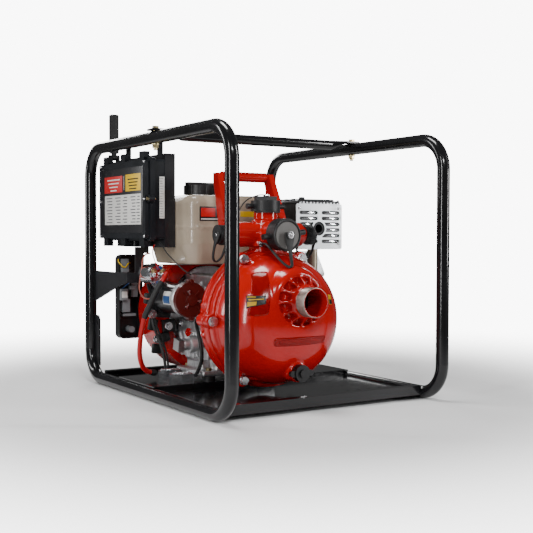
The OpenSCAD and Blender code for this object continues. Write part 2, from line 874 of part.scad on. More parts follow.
module pump_adapter() {
  color(red_c) at_axis() difference() {
    union() {
      rod_y(0, 0, flange_r, -128, -112);
      rod_y(0, 0, flange_r - 5, -112, -104);
      rod_y(0, 0, flange_r - 1, -104, -94);
      rod_y(0, 0, flange_r - 14, -94, -84);
      cone_y(0, 0, flange_r - 18, 94, -84, -42);
      rod_y(0, 0, 98, -42, -30);
      ears(-128, -100);
      slab_z(127, 149, 0, -117, 60, 54, 10);
      for (a = [168, 192, 348, 12]) {
        rotate([0, -a, 0]) rod_x(-108, 0, 6, 100, flange_r + 5);
      }
    }
    rod_y(0, 0, 121, -129, -104);
    rod_y(0, 0, 24, -105, -96);
    rod_y(0, 0, 15, -105, -80);
    rod_y(0, 0, 74, -84, -29);
    difference() {
      rod_y(0, 0, 129, -128.1, -125);
      rod_y(0, 0, 125, -130, -120);
    }
    rod_z(0, -114, 13, 100, 150);
    bolt_holes(5, -129, -106);
  }
}

dome_depth = 112;
dome_r = 136;
// quarter of a superellipse, radius against depth
dome = concat([[0, 0]], [for (i = [0:2:90]) [dome_r * pow(cos(i), 0.76), dome_depth * pow(sin(i), 0.84)]]);

// profile points are radius and depth in front of the flange joint
module lathe_y(y0, points) {
  translate([0, y0, 0]) rotate([90, 0, 0]) rotate_extrude($fn = 96) polygon(points);
}

module pump_cover() {
  color(red_c) at_axis() difference() {
    union() {
      difference() {
        union() {
          lathe_y(-142, dome);
          rod_y(0, 0, flange_r - 3, -146, -128);
          ears(-146, -128);
          hub_ring();
        }
        rod_y(0, port_z, 49, -300, -243);
      }
      rod_y(0, port_z, suction_r + 4, -270, -236);
      rod_y(0, port_z, suction_r, -303, -260);
      port_ribs();
      rod_y(0, -102, 20, -242, -190);
    }
    lathe_y(-128, [[0, -1], [120, -1], [120, 44], [62, 98], [0, 98]]);
    rod_y(0, port_z, bore_r, -310, -220);
    rod_y(0, port_z, 33, -234, -205);
    rod_x(-229, port_z + 27, 2 + running_gap, -26, 26);
    rod_y(0, -102, 9, -250, -180);
    bolt_holes(5, -147, -127);
    bolt_holes(12, -185, -146);
    span(-31, 31, -145, -127, 126, 160);
  }
}

// swelling of the dome around the port
module hub_ring() {
  translate([0, -212, port_z]) rotate([90, 0, 0]) rotate_extrude($fn = 72)
    polygon([[0, 0], [73, 0], [70, 14], [65.5, 24], [60, 31.5], [55, 35], [0, 35]]);
}

module port_ribs() {
  for (a = [0:30:330]) {
    translate([0, 0, port_z]) rotate([0, a, 0]) translate([0, 0, -2.5]) linear_extrude(height = 5)
      polygon([[suction_r, -242], [suction_r, -268], [suction_r + 5, -268], [51, -247.5], [51, -242]]);
  }
}

module suction_flap() {
  color([0.10, 0.10, 0.10]) at_axis() {
    rod_y(0, port_z, 27.3, -233.3, -229.3);
    rod_x(-229, port_z + 27, 4, -6, 6);
    rod_x(-229, port_z + 27, 2, -22, 22);
  }
}

module cover_bolts() {
  color(steel_c) at_axis() for (a = [0:60:300]) {
    translate([bolt_circle_r * cos(a), 0, bolt_circle_r * sin(a)]) {
      difference() {
        rod_y(0, 0, 10, -148, -146);
        rod_y(0, 0, 4.9, -149, -145);
      }
      hex_y(0, 0, 16, -155, -148);
      rod_y(0, 0, 4.9, -148, -108);
    }
  }
}

module seal_rings() {
  color([0.20, 0.20, 0.22]) at_axis() {
    difference() {
      rod_y(0, 0, 24, -104, -96);
      rod_y(0, 0, 14, -105, -95);
    }
    difference() {
      rod_y(0, 0, 129, -128, -125);
      rod_y(0, 0, 125, -129, -124);
    }
  }
}

module diffuser_plate() {
  color([0.25, 0.25, 0.27]) at_axis() {
    difference() {
      rod_y(0, 0, 120, -144, -134);
      rod_y(0, 0, 26, -145, -133);
      for (a = [0:45:315]) {
        rotate([0, a, 0]) rod_y(98, 0, 12, -145, -133);
      }
    }
  }
}

module pump_inserts() {
  seal_rings();
  diffuser_plate();
}

module one_impeller(y, r) {
  difference() {
    union() {
      rod_y(0, 0, r, y - 3, y);
      rod_y(0, 0, 20, y - 15, y);
      for (a = [0:60:300]) {
        rotate([0, a, 0]) translate([0, 0, -12]) rotate([0, 25, 0]) span(18, r - 8, y - 11, y - 3, -1.6, 1.6);
      }
      difference() {
        rod_y(0, 0, r, y - 14, y - 11);
        rod_y(0, 0, 30, y - 16, y - 10);
      }
    }
    rod_y(0, 0, shaft_r, y - 20, y + 1);
  }
}

module impellers() {
  color([0.72, 0.58, 0.32]) at_axis() {
    one_impeller(-106, impeller_r - 4);
    one_impeller(-148, impeller_r);
    difference() {
      rod_y(0, 0, 18, -148, -121);
      rod_y(0, 0, shaft_r, -149, -120);
    }
  }
}

module crankshaft() {
  color(steel_c) at_axis() {
    rod_y(0, 0, shaft_r, -170, -30);
    rod_y(0, 0, journal_r, -30, 26);
    rod_y(0, 0, 56, 26, 40);
    rod_y(0, 30, 14, 40, 60);
    rod_y(0, 0, 56, 60, 74);
    rod_y(0, 0, journal_r, 74, 124);
    rod_y(0, 0, 12, 124, 172);
    hex_y(0, 0, 22, -173, -163);
    hex_y(0, 0, 24, 172, 184);
  }
}

module flywheel() {
  color(alu_c) at_axis() difference() {
    union() {
      rod_y(0, 0, 100, 128, 148);
      for (a = [0:20:340]) {
        rotate([0, a, 0]) span(66, 96, 146, 176, -1.5, 1.5);
      }
      rod_y(0, 0, 34, 126, 170);
      rod_y(0, 0, 62, 148, 152);
    }
    rod_y(0, 0, 12, 120, 200);
    rod_y(0, 0, 56, 124, 134);
  }
  color(steel_c) at_axis() difference() {
    rod_y(0, 0, 102, 130, 140);
    rod_y(0, 0, 100, 128, 149);
  }
}

man_y = -117;
man_z = 174;

module manifold() {
  color(red_c) at_axis() difference() {
    union() {
      slab_z(149, 160, 0, man_y, 76, 60, 14);
      rod_z(0, man_y, 30, 158, 204);
      rod_z(0, man_y, 25, 204, 222);
      rod_z(0, man_y, 22.4, 222, 236);
      rod_x(man_y, man_z, 26, -84, 84);
      for (s = [-1, 1]) {
        rod_x(man_y, man_z, side_r + 2.5, min(s * 84, s * 93), max(s * 84, s * 93));
        rod_x(man_y, man_z, side_r, min(s * 92, s * 110), max(s * 92, s * 110));
        translate([s * foot_x, 0, 0]) span(-9, 9, man_y + 8, -60, man_z - 9, man_z + 3);
      }
      rod_y(0, man_z, 28.5, -168, man_y);
      rod_y(0, man_z, outlet_r, -190, -160);
    }
    rod_z(0, man_y, 20, 148, 200);
    rod_z(0, man_y, 18, 190, 240);
    rod_x(man_y, man_z, side_r - 3, -112, 112);
    rod_y(0, man_z, outlet_r - 4, -192, man_y);
    span(-32, 32, -146.5, -85, 138, 149);
    for (s = [-1, 1]) {
      rod_z(s * foot_x, -74, 4.2, man_z - 12, man_z + 5);
    }
  }
}

arm_x = 63.5;
grip_y = -27;
handle_z = 298;

module arm(s) {
  hull() {
    translate([s * foot_x - 9, -88, man_z + 3]) cube([18, 28, 10]);
    translate([s * (arm_x + 1) - 6, grip_y - 10, handle_z - 10]) cube([12, 19, 18]);
  }
}

module lifting_handle() {
  color(red_c) at_axis() difference() {
    union() {
      arm(-1);
      arm(1);
      rod_x(grip_y, handle_z - 1, 9, -arm_x, arm_x);
      for (i = [-5:5]) {
        translate([i * 10.4, grip_y, 0]) span(-3, 3, -6, 6, handle_z, handle_z + 11);
      }
    }
    for (s = [-1, 1]) {
      rod_z(s * foot_x, -74, 4.2, man_z + 2, man_z + 30);
      rod_z(s * foot_x, -74, 8, man_z + 13, man_z + 30);
    }
  }
}

module thread_cap(r, hole, depth, h) {
  difference() {
    cylinder(h = h, r = r);
    translate([0, 0, -1]) cylinder(h = depth + 1, r = hole);
  }
}

module front_cap() {
  color(black_c) at_axis() {
    translate([0, -170, man_z]) rotate([90, 0, 0]) thread_cap(33, outlet_r + 0.1, 22, 29);
    for (s = [-1, 1]) {
      translate([0, 0, man_z]) rotate([0, -6, 0]) rod_x(-187, 0, 6, min(s * 30, s * 51), max(s * 30, s * 51));
    }
    rod_y(0, man_z, 5, -213, -199);
  }
}

module left_cap() {
  color(black_c) at_axis() {
    translate([-94, man_y, man_z]) rotate([0, -90, 0]) thread_cap(19.5, side_r + 0.1, 17, 23);
    rod_x(man_y, man_z, 6, -123, -117);
  }
}

module right_cap() {
  color(black_c) at_axis() {
    translate([94, man_y, man_z]) rotate([0, 90, 0]) thread_cap(19.5, side_r + 0.1, 17, 23);
    rod_x(man_y, man_z, 6, 117, 123);
  }
}

module priming_cap() {
  color(black_c) at_axis() {
    translate([0, man_y, 223]) thread_cap(31, 22.5, 14, 22);
    translate([0, man_y, 0]) span(-25, 25, -5, 5, 245, 254);
    rod_x(man_y, 233, 5.5, -46, -30);
    rod_x(man_y, 233, 5.5, 30, 46);
    rod_z(0, man_y, 5, 245, 258);
  }
}

module drain_plug() {
  color(black_c) at_axis() {
    rod_y(0, -102, 8.9, -243, -208);
    rod_y(0, -102, 17, -258, -242.4);
    slab_y(-256, -248, 0, -102, 56, 12, 5.9);
    rod_y(0, -102, 8, -262, -256);
  }
}

// ---------- cords ----------

function unit(v) = v / norm(v);
function side_of(d) = unit(cross(d, abs(d[2]) > 0.9 ? [0, 1, 0] : [0, 0, 1]));

module cord(points, r, sides) {
  n = len(points);
  dirs = [for (i = [0:n - 1]) unit(points[min(i + 1, n - 1)] - points[max(i - 1, 0)])];
  ring = [for (i = [0:n - 1]) for (k = [0:sides - 1])
    let (u = side_of(dirs[i]), w = cross(dirs[i], u), a = 360 * k / sides)
    points[i] + r * (cos(a) * u + sin(a) * w)];
  quads = [for (i = [0:n - 2]) for (k = [0:sides - 1])
    [i * sides + k, i * sides + (k + 1) % sides, (i + 1) * sides + (k + 1) % sides, (i + 1) * sides + k]];
  first = [[for (k = [0:sides - 1]) sides - 1 - k]];
  last = [[for (k = [0:sides - 1]) (n - 1) * sides + k]];
  polyhedron(points = ring, faces = concat(first, quads, last));
}

red_lead = [[-154, 38, 90], [-162, 32, 82], [-171, 31, 70], [-178, 34, 56], [-185, 39, 39], [-192, 46, 17],
  [-198, 53, -2], [-201, 60, -24], [-202, 66, -46], [-202, 71, -68], [-200, 76, -86], [-195, 81, -102],
  [-187, 86, -116], [-175, 91, -126], [-162, 94, -130], [-152, 96, -132]];
black_lead = [[-89, 24, -18], [-95, 10, -26], [-99, -4, -38], [-100, -13, -52], [-100, -18, -68],
  [-98, -18, -84], [-97, -14, -99], [-97, -6, -112], [-98, 2, -123], [-100, 8, -132]];
strap_f = [[0, -216.5, 172], [-1, -219, 156], [-2, -223, 138], [-4, -228, 122], [-8, -232, 113],
  [-15, -234, 109], [-22, -229, 113], [-28, -216, 123], [-31, -199, 136], [-32, -182, 148],
  [-32, -166, 155], [-33, -153, 155]];
strap_side = [[126.5, -117, 172], [128, -115, 156], [126, -109, 136], [118, -101, 122], [106, -97, 118],
  [95, -98, 128], [90, -101, 144], [88, -106, 155]];

module positive_lead() {
  color([0.70, 0.05, 0.05]) at_axis() cord(red_lead, 5.5, 12);
}

module negative_lead() {
  color(black_c) at_axis() cord(black_lead, 4, 10);
}

module strap_front() {
  color(rubber_c) at_axis() cord(strap_f, 2.5, 8);
}

module strap_left() {
  color(rubber_c) at_axis() cord([for (p = strap_side) [-p[0], p[1], p[2]]], 2.5, 8);
}

module strap_right() {
  color(rubber_c) at_axis() cord(strap_side, 2.5, 8);
}

module clamp() {
  for (s = [-1, 1]) {
    span(-26, 26, s * 7 - 2, s * 7 + 2, 0, 18);
  }
  span(6, 26, -5, 5, 2, 8);
  rod_y(0, 9, 3, -10, 10);
}

module battery_clamps() {
  color(steel_c) {
    translate([axis_offset - 122, 86, plate_top]) rotate([0, 0, -20]) clamp();
    translate([axis_offset - 126, 22, plate_top]) rotate([0, 0, -20]) clamp();
  }
}

left_hoop();
right_hoop();
top_crossbar();
frame_bolts();
base_pan();
engine_plate();
box_bracket();
box_tray();
rubber_mounts();
crankcase();
crankcase_cover();
cylinder_block();
cylinder_head();
rocker_cover();
fan_cover();
recoil_cover();
fuel_tank();
carburettor();
air_cleaner();
muffler();
muffler_guard();
exhaust_pipe();
starter_motor();
starter_cap();
solenoid();
control_housing();
control_parts();
pump_adapter();
pump_cover();
cover_bolts();
pump_inserts();
manifold();
lifting_handle();
box_base();
box_lid();
battery_clamps();
positive_lead();
negative_lead();
strap_front();
strap_left();
strap_right();
crankshaft();
flywheel();
impellers();
front_cap();
left_cap();
right_cap();
priming_cap();
drain_plug();
fuel_cap();
oil_cap();
recoil_grip();
recoil_rope();
recoil_pulley();
throttle_lever();
choke_lever();
fuel_tap_lever();
ignition_key();
antenna();
suction_flap();
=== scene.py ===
import json
import math
import bpy
import bmesh
from mathutils import Matrix, Vector

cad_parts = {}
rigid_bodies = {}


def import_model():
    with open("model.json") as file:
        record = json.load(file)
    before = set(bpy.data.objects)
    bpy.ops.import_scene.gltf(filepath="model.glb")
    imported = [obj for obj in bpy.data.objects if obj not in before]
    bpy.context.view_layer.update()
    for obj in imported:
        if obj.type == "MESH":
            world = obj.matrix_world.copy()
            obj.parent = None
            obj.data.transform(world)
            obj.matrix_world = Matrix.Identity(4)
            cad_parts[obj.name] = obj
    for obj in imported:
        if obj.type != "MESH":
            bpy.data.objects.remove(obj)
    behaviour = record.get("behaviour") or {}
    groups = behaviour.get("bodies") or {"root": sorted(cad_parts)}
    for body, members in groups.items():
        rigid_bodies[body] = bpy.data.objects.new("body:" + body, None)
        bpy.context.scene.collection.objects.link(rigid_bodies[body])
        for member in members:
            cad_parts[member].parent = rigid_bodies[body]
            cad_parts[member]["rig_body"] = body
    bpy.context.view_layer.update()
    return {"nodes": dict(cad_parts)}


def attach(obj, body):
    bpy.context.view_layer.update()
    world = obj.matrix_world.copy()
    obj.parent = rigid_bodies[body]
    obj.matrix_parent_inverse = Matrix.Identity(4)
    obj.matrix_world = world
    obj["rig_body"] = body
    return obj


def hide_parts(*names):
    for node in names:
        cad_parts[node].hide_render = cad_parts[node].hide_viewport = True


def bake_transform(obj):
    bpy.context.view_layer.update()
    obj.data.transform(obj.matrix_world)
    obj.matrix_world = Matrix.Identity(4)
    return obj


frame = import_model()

nodes = frame["nodes"]

# pump and engine axis, in metres
axisX = -0.046
axisZ = 0.1749


def at(x, y, z):
    return Vector((axisX + x / 1000, y / 1000, axisZ + z / 1000))


def mm(x, y, z):
    return Vector((x / 1000, y / 1000, z / 1000))


def addObject(name, data):
    made = bpy.data.objects.new(name, data)
    bpy.context.scene.collection.objects.link(made)
    return made


print("stage: camera")
cameraInfo = {"place": (-1.1229, -1.8234, 0.3447), "yaw": 32.32, "pitch": 1.786, "roll": -0.108,
              "lens": 64.88, "sensor": 36, "farEnd": 50}
cameraData = bpy.data.cameras.new("camera")
cameraData.lens = cameraInfo["lens"]
cameraData.sensor_width = cameraInfo["sensor"]
cameraData.clip_end = cameraInfo["farEnd"]
camera = addObject("camera", cameraData)
turn = Matrix.Rotation(math.radians(-cameraInfo["yaw"]), 4, "Z")
tip = Matrix.Rotation(math.radians(90 - cameraInfo["pitch"]), 4, "X")
lean = Matrix.Rotation(math.radians(-cameraInfo["roll"]), 4, "Z")
camera.matrix_world = Matrix.Translation(cameraInfo["place"]) @ turn @ tip @ lean
bpy.context.scene.camera = camera


def spin(count):
    # evenly spaced angles round a circle
    return [2 * math.pi * k / count for k in range(count)]


def ringOf(side, other, radius, count):
    return [(side * math.cos(a) + other * math.sin(a)) * radius for a in spin(count)]


def meshOf(name, bm):
    mesh = bpy.data.meshes.new(name)
    bm.to_mesh(mesh)
    bm.free()
    return mesh


def evaluatedMesh(piece):
    bpy.context.view_layer.update()
    graph = bpy.context.evaluated_depsgraph_get()
    mesh = bpy.data.meshes.new_from_object(piece.evaluated_get(graph))
    bpy.data.objects.remove(piece)
    return mesh


def finishMesh(name, mesh, body, mat, smooth=40):
    # smooth is the angle in degrees under which edges shade round, 0 for flat faces
    piece = addObject(name, mesh)
    mesh.materials.clear()
    mesh.materials.append(mat)
    mesh.validate()
    if smooth:
        mesh.shade_smooth()
        if smooth < 180:
            mesh.set_sharp_from_angle(angle=math.radians(smooth))
    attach(piece, body)
    return piece


def fromBmesh(name, bm, mat, smooth=40, body="frame_body"):
    bmesh.ops.recalc_face_normals(bm, faces=bm.faces)
    return finishMesh(name, meshOf(name, bm), body, mat, smooth)


def skin(bm, rings):
    # quads between one ring of points and the next, with the two ends closed
    for low, high in zip(rings, rings[1:]):
        for k in range(len(low)):
            n = (k + 1) % len(low)
            bm.faces.new((low[k], low[n], high[n], high[k]))
    bm.faces.new(list(reversed(rings[0])))
    bm.faces.new(rings[-1])


def smoothPath(points, step):
    # Catmull-Rom through the points, resampled evenly
    pts = [Vector(p) for p in points]
    pts = [pts[0] * 2 - pts[1]] + pts + [pts[-1] * 2 - pts[-2]]
    fine = []
    for i in range(1, len(pts) - 2):
        a, b, c, d = pts[i - 1:i + 3]
        for k in range(16):
            t = k / 16
            fine.append(0.5 * ((2 * b) + (c - a) * t + (2 * a - 5 * b + 4 * c - d) * t * t
                               + (3 * b - a - 3 * c + d) * t ** 3))
    fine.append(pts[-2])
    out = [fine[0]]
    carry = 0.0
    for p, q in zip(fine, fine[1:]):
        gap = (q - p).length
        while carry + gap >= step:
            p = p + (q - p) * ((step - carry) / gap)
            gap = (q - p).length
            carry = 0.0
            out.append(p.copy())
        carry += gap
    if (out[-1] - fine[-1]).length > step * 0.4:
        out.append(fine[-1])
    else:
        out[-1] = fine[-1]
    return out


def tubeMesh(bm, path, radius, sides):
    # radius is a number or a function of the share of the way along
    tangent = (path[1] - path[0]).normalized()
    side = tangent.orthogonal().normalized()
    rings = []
    last = len(path) - 1
    for i, p in enumerate(path):
        ahead = (path[min(i + 1, last)] - path[max(i - 1, 0)]).normalized()
        side = (side - ahead * side.dot(ahead)).normalized()
        other = ahead.cross(side)
        r = radius(i / last) if callable(radius) else radius
        rings.append([bm.verts.new(p + spoke) for spoke in ringOf(side, other, r, sides)])
    skin(bm, rings)


def latheMesh(bm, profile, centre=(0, 0, 0), axis=(0, 0, 1), steps=48):
    # profile is (radius, distance along axis) in millimetres, closed on itself or on the axis
    axis = Vector(axis).normalized()
    side = axis.orthogonal().normalized()
    other = axis.cross(side)
    rings = []
    for r, d in profile:
        mid = Vector(centre) + axis * (d / 1000)
        if r < 1e-6:
            rings.append([bm.verts.new(mid)])
        else:
            rings.append([bm.verts.new(mid + spoke) for spoke in ringOf(side, other, r / 1000, steps)])
    if len(rings[0]) > 1 and len(rings[-1]) > 1:
        rings.append(rings[0])
    for low, high in zip(rings, rings[1:]):
        for k in range(steps):
            n = (k + 1) % steps
            if len(low) == 1 and len(high) == 1:
                continue
            if len(low) == 1:
                bm.faces.new((low[0], high[n], high[k]))
            elif len(high) == 1:
                bm.faces.new((low[k], low[n], high[0]))
            else:
                bm.faces.new((low[k], low[n], high[n], high[k]))


def lathe(name, profile, centre, axis, mat, steps, body="frame_body"):
    bm = bmesh.new()
    latheMesh(bm, profile, centre, axis, steps)
    fromBmesh(name, bm, mat, 35, body)


def roundBox(bm, low, high, edge=0.001, turnBy=None, segments=2):
    # a box between two corners with its edges rounded, turned about its middle
    low, high = Vector(low), Vector(high)
    made = bmesh.ops.create_cube(bm, size=1)["verts"]
    mid = (low + high) / 2
    size = high - low
    for v in made:
        v.co = Vector((v.co.x * size.x, v.co.y * size.y, v.co.z * size.z))
    if edge:
        edges = list(dict.fromkeys(e for v in made for e in v.link_edges))
        made = bmesh.ops.bevel(bm, geom=edges, offset=edge, segments=segments, affect="EDGES",
                               profile=0.5)["verts"] + [v for v in made if v.is_valid]
    for v in set(made):
        if turnBy is not None:
            v.co = turnBy @ v.co
        v.co = v.co + mid


def boxPiece(name, low, high, mat, edge):
    bm = bmesh.new()
    roundBox(bm, low, high, edge)
    fromBmesh(name, bm, mat)


def scatterGroup():
    # instances one object on points that carry a turn and a scale
    group = bpy.data.node_groups.new("scatter", "GeometryNodeTree")
    face = group.interface
    for socket, kind in (("Geometry", "Geometry"), ("Source", "Object"), ("Material", "Material")):
        face.new_socket(socket, in_out="INPUT", socket_type="NodeSocket" + kind)
    face.new_socket("Geometry", in_out="OUTPUT", socket_type="NodeSocketGeometry")
    inn = group.nodes.new("NodeGroupInput")
    out = group.nodes.new("NodeGroupOutput")
    info = group.nodes.new("GeometryNodeObjectInfo")
    place = group.nodes.new("GeometryNodeInstanceOnPoints")
    real = group.nodes.new("GeometryNodeRealizeInstances")
    paint = group.nodes.new("GeometryNodeSetMaterial")
    link = group.links.new
    link(inn.outputs["Source"], info.inputs["Object"])
    link(inn.outputs["Geometry"], place.inputs["Points"])
    link(info.outputs["Geometry"], place.inputs["Instance"])
    for attribute, socket in (("turn", "Rotation"), ("size", "Scale")):
        read = group.nodes.new("GeometryNodeInputNamedAttribute")
        read.data_type = "FLOAT_VECTOR"
        read.inputs["Name"].default_value = attribute
        link(read.outputs["Attribute"], place.inputs[socket])
    link(place.outputs["Instances"], real.inputs["Geometry"])
    link(real.outputs["Geometry"], paint.inputs["Geometry"])
    link(inn.outputs["Material"], paint.inputs["Material"])
    link(paint.outputs["Geometry"], out.inputs["Geometry"])
    return group


scatterTree = scatterGroup()


def scatter(name, buildSource, places, mat, body="frame_body", smooth=35):
    # places are (point, direction of the source's +Z, twist in degrees, scale)
    bm = bmesh.new()
    buildSource(bm)
    bmesh.ops.recalc_face_normals(bm, faces=bm.faces)
    source = addObject(name + "Source", meshOf(name + "Source", bm))
    cloud = bpy.data.meshes.new(name + "Points")
    cloud.from_pydata([tuple(p[0]) for p in places], [], [])
    turns = cloud.attributes.new("turn", "FLOAT_VECTOR", "POINT")
    sizes = cloud.attributes.new("size", "FLOAT_VECTOR", "POINT")
    for i, (point, toward, twist, scale) in enumerate(places):
        facing = Vector(toward).to_track_quat("Z", "Y").to_matrix()
        facing = facing @ Matrix.Rotation(math.radians(twist), 3, "Z")
        turns.data[i].vector = facing.to_euler()
        sizes.data[i].vector = scale if isinstance(scale, tuple) else (scale, scale, scale)
    holder = addObject(name + "Points", cloud)
    mod = holder.modifiers.new("scatter", "NODES")
    mod.node_group = scatterTree
    ids = {s.name: s.identifier for s in scatterTree.interface.items_tree if s.in_out == "INPUT"}
    mod[ids["Source"]] = source
    mod[ids["Material"]] = mat
    mesh = evaluatedMesh(holder)
    mesh.name = name
    bpy.data.objects.remove(source)
    for extra in ("turn", "size"):
        if extra in mesh.attributes:
            mesh.attributes.remove(mesh.attributes[extra])
    finishMesh(name, mesh, body, mat, smooth)


def castCopy(name, node, voxel, rounds, mat):
    # a cast skin over the CAD solid: remeshed, its edges and corners softened
    piece = addObject(name, nodes[node].data.copy())
    grid = piece.modifiers.new("grid", "REMESH")
    grid.mode = "VOXEL"
    grid.voxel_size = voxel
    soft = piece.modifiers.new("soft", "SMOOTH")
    soft.factor = 0.5
    soft.iterations = rounds
    made = finishMesh(name, evaluatedMesh(piece), nodes[node]["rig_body"], mat, 180)
    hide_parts(node)


class Wave:
    # a shader value that reads like a number
    def __init__(self, kit, socket):
        self.kit = kit
        self.socket = socket

    def math(self, operation, *others):
        values = dict(enumerate((self, *others)))
        return self.kit.node("ShaderNodeMath", {"operation": operation}, values)

    def __add__(self, other):
        return self.math("ADD", other)

    def __sub__(self, other):
        return self.math("SUBTRACT", other)

    def __mul__(self, other):
        return self.math("MULTIPLY", other)

    def __radd__(self, other):
        return self.math("ADD", other)

    def __rmul__(self, other):
        return self.math("MULTIPLY", other)

    def __rsub__(self, other):
        return (self * -1.0).math("ADD", other)

    def abs(self):
        return self.math("ABSOLUTE")

    def ramp(self, low, high, start=0.0, end=1.0):
        return self.kit.node("ShaderNodeMapRange", {"interpolation_type": "SMOOTHSTEP"},
                             {"Value": self, "From Min": low, "From Max": high, "To Min": start,
                              "To Max": end}, "Result")


class Kit:
    # one material and its nodes
    def __init__(self, name):
        self.mat = bpy.data.materials.new(name)
        self.mat.use_nodes = True
        self.tree = self.mat.node_tree
        self.tree.nodes.clear()
        self.out = self.tree.nodes.new("ShaderNodeOutputMaterial")
        self.bsdf = self.tree.nodes.new("ShaderNodeBsdfPrincipled")
        self.tree.links.new(self.bsdf.outputs[0], self.out.inputs["Surface"])
        self.place = self.tree.nodes.new("ShaderNodeTexCoord").outputs["Object"]

    def feed(self, socket, value):
        if isinstance(value, Wave):
            self.tree.links.new(value.socket, socket)
        elif isinstance(value, bpy.types.NodeSocket):
            self.tree.links.new(value, socket)
        elif socket.type == "RGBA" and len(value) == 3:
            socket.default_value = (*value, 1.0)
        else:
            socket.default_value = value

    def node(self, kind, settings, values, output=0):
        node = self.tree.nodes.new(kind)
        for key, value in settings.items():
            setattr(node, key, value)
        for key, value in values.items():
            self.feed(node.inputs[key], value)
        return Wave(self, node.outputs[output])

    def axes(self):
        split = self.tree.nodes.new("ShaderNodeSeparateXYZ")
        self.tree.links.new(self.place, split.inputs[0])
        return [Wave(self, split.outputs[i]) for i in range(3)]

    def noise(self, scale, detail=3.0, rough=0.55, stretch=None):
        where = self.place
        if stretch:
            where = self.node("ShaderNodeMapping", {}, {"Vector": where, "Scale": stretch}, "Vector")
        return self.node("ShaderNodeTexNoise", {}, {"Vector": where, "Scale": scale, "Detail": detail,
                                                    "Roughness": rough}, "Fac")

    def cells(self, scale, output="Distance"):
        return self.node("ShaderNodeTexVoronoi", {}, {"Vector": self.place, "Scale": scale}, output)

    def mix(self, factor, first, second):
        values = {"Factor": factor, 6: first, 7: second}
        return self.node("ShaderNodeMix", {"data_type": "RGBA"}, values, 2)

    def bump(self, height, distance, strength=1.0):
        return self.node("ShaderNodeBump", {}, {"Height": height, "Distance": distance,
                                                "Strength": strength})

    def done(self, **values):
        for key, value in values.items():
            self.feed(self.bsdf.inputs[key.replace("_", " ")], value)
        return self.mat


print("stage: materials")


def glossPaint(name, base, deep, rough, peel, dust=0.0):
    # poured enamel: orange peel, slow colour drift, rubbed patches
    kit = Kit(name)
    drift = kit.noise(9, 4)
    rub = kit.noise(46, 6, 0.7).ramp(0.62, 0.78)
    fine = kit.noise(420, 2)
    colour = kit.mix(drift.ramp(0.3, 0.75), base, deep)
    if dust:
        speck = kit.noise(900, 2, 0.8).ramp(0.68, 0.8) * dust
        colour = kit.mix(speck, colour, (0.35, 0.34, 0.32))
    return kit.done(Base_Color=colour, Roughness=drift * 0.08 + rub * 0.14 + rough, Metallic=0.0,
                    Coat_Weight=0.25, Coat_Roughness=0.05, Specular_IOR_Level=0.32,
                    Normal=kit.bump(fine + kit.noise(90, 2) * 1.4, peel, 0.35))


portThread = {"above": 0.041, "begins": (0.2745, 0.2765), "outside": (0.0278, 0.0286), "pitch": 0.00231}


def castRed(name, threadPort=False):
    # red enamel over sand casting
    kit = Kit(name)
    x, y, z = kit.axes()
    drift = kit.noise(7, 4)
    grain = kit.noise(700, 3, 0.6)
    lumps = kit.noise(60, 3)
    colour = kit.mix(drift.ramp(0.25, 0.8), (0.43, 0.0025, 0.0018), (0.30, 0.0018, 0.0014))
    rough = drift * 0.08 + lumps * 0.05 + 0.10
    metal = 0.0
    height = grain * 0.25 + lumps * 0.9
    if threadPort:  # bare metal outside the suction pipe, with a thread round it
        dx = x - axisX
        dz = z - (axisZ + portThread["above"])
        away = (dx * dx + dz * dz).math("SQRT")
        bare = (0.0 - y).ramp(*portThread["begins"]) * away.ramp(*portThread["outside"])
        tooth = ((y * (1 / portThread["pitch"])).math("FRACT") - 0.5).abs() * 2.0
        steel = kit.mix(kit.noise(300, 4, 0.7), (0.42, 0.39, 0.35), (0.20, 0.16, 0.13))
        colour = kit.mix(bare, colour, steel)
        rough = rough + bare * 0.16
        metal = bare * 0.85
        height = height + bare * tooth * 5.0
    return kit.done(Base_Color=colour, Roughness=rough, Metallic=metal, Coat_Weight=0.22,
                    Coat_Roughness=0.05, Specular_IOR_Level=0.35, Normal=kit.bump(height, 0.00028, 0.6))


def metalMat(name, light, dark, rough, metal=1.0, grain=260, stretch=None, bumpBy=0.00006, grime=0.35):
    kit = Kit(name)
    mark = kit.noise(grain, 4, 0.65, stretch)
    dirt = kit.noise(34, 6, 0.7).ramp(0.55, 0.75)
    colour = kit.mix(mark, light, dark)
    colour = kit.mix(dirt * grime, colour, (0.035, 0.03, 0.026))
    return kit.done(Base_Color=colour, Roughness=mark * 0.16 + dirt * 0.2 + rough, Metallic=metal,
                    Normal=kit.bump(mark, bumpBy, 0.7))


def castMetal(name, light, dark, rough, grime=0.6):
    # bead-blasted die casting with oil in its low places
    kit = Kit(name)
    pits = kit.cells(650)
    drift = kit.noise(22, 5, 0.65)
    dirt = drift.ramp(0.52, 0.72)
    colour = kit.mix(kit.noise(180, 4), light, dark)
    colour = kit.mix(dirt * grime, colour, (0.03, 0.026, 0.022))
    return kit.done(Base_Color=colour, Roughness=drift * 0.2 + rough, Metallic=0.9 - dirt * 0.4,
                    Normal=kit.bump(pits * 0.5 + kit.noise(120, 3), 0.0002, 0.7))


def plasticMat(name, base, rough, texture=1300, bumpBy=0.00012, light=None):
    # moulded plastic with a spark-eroded skin
    kit = Kit(name)
    skin = kit.cells(texture)
    drift = kit.noise(14, 4)
    colour = kit.mix(drift.ramp(0.3, 0.8), base, light or tuple(c * 1.6 + 0.004 for c in base))
    scuff = kit.noise(75, 7, 0.75, (1, 1, 5)).ramp(0.66, 0.8)
    return kit.done(Base_Color=colour, Roughness=drift * 0.12 + scuff * 0.15 + rough, Metallic=0.0,
                    Specular_IOR_Level=0.35, Normal=kit.bump(skin, bumpBy, 0.5))


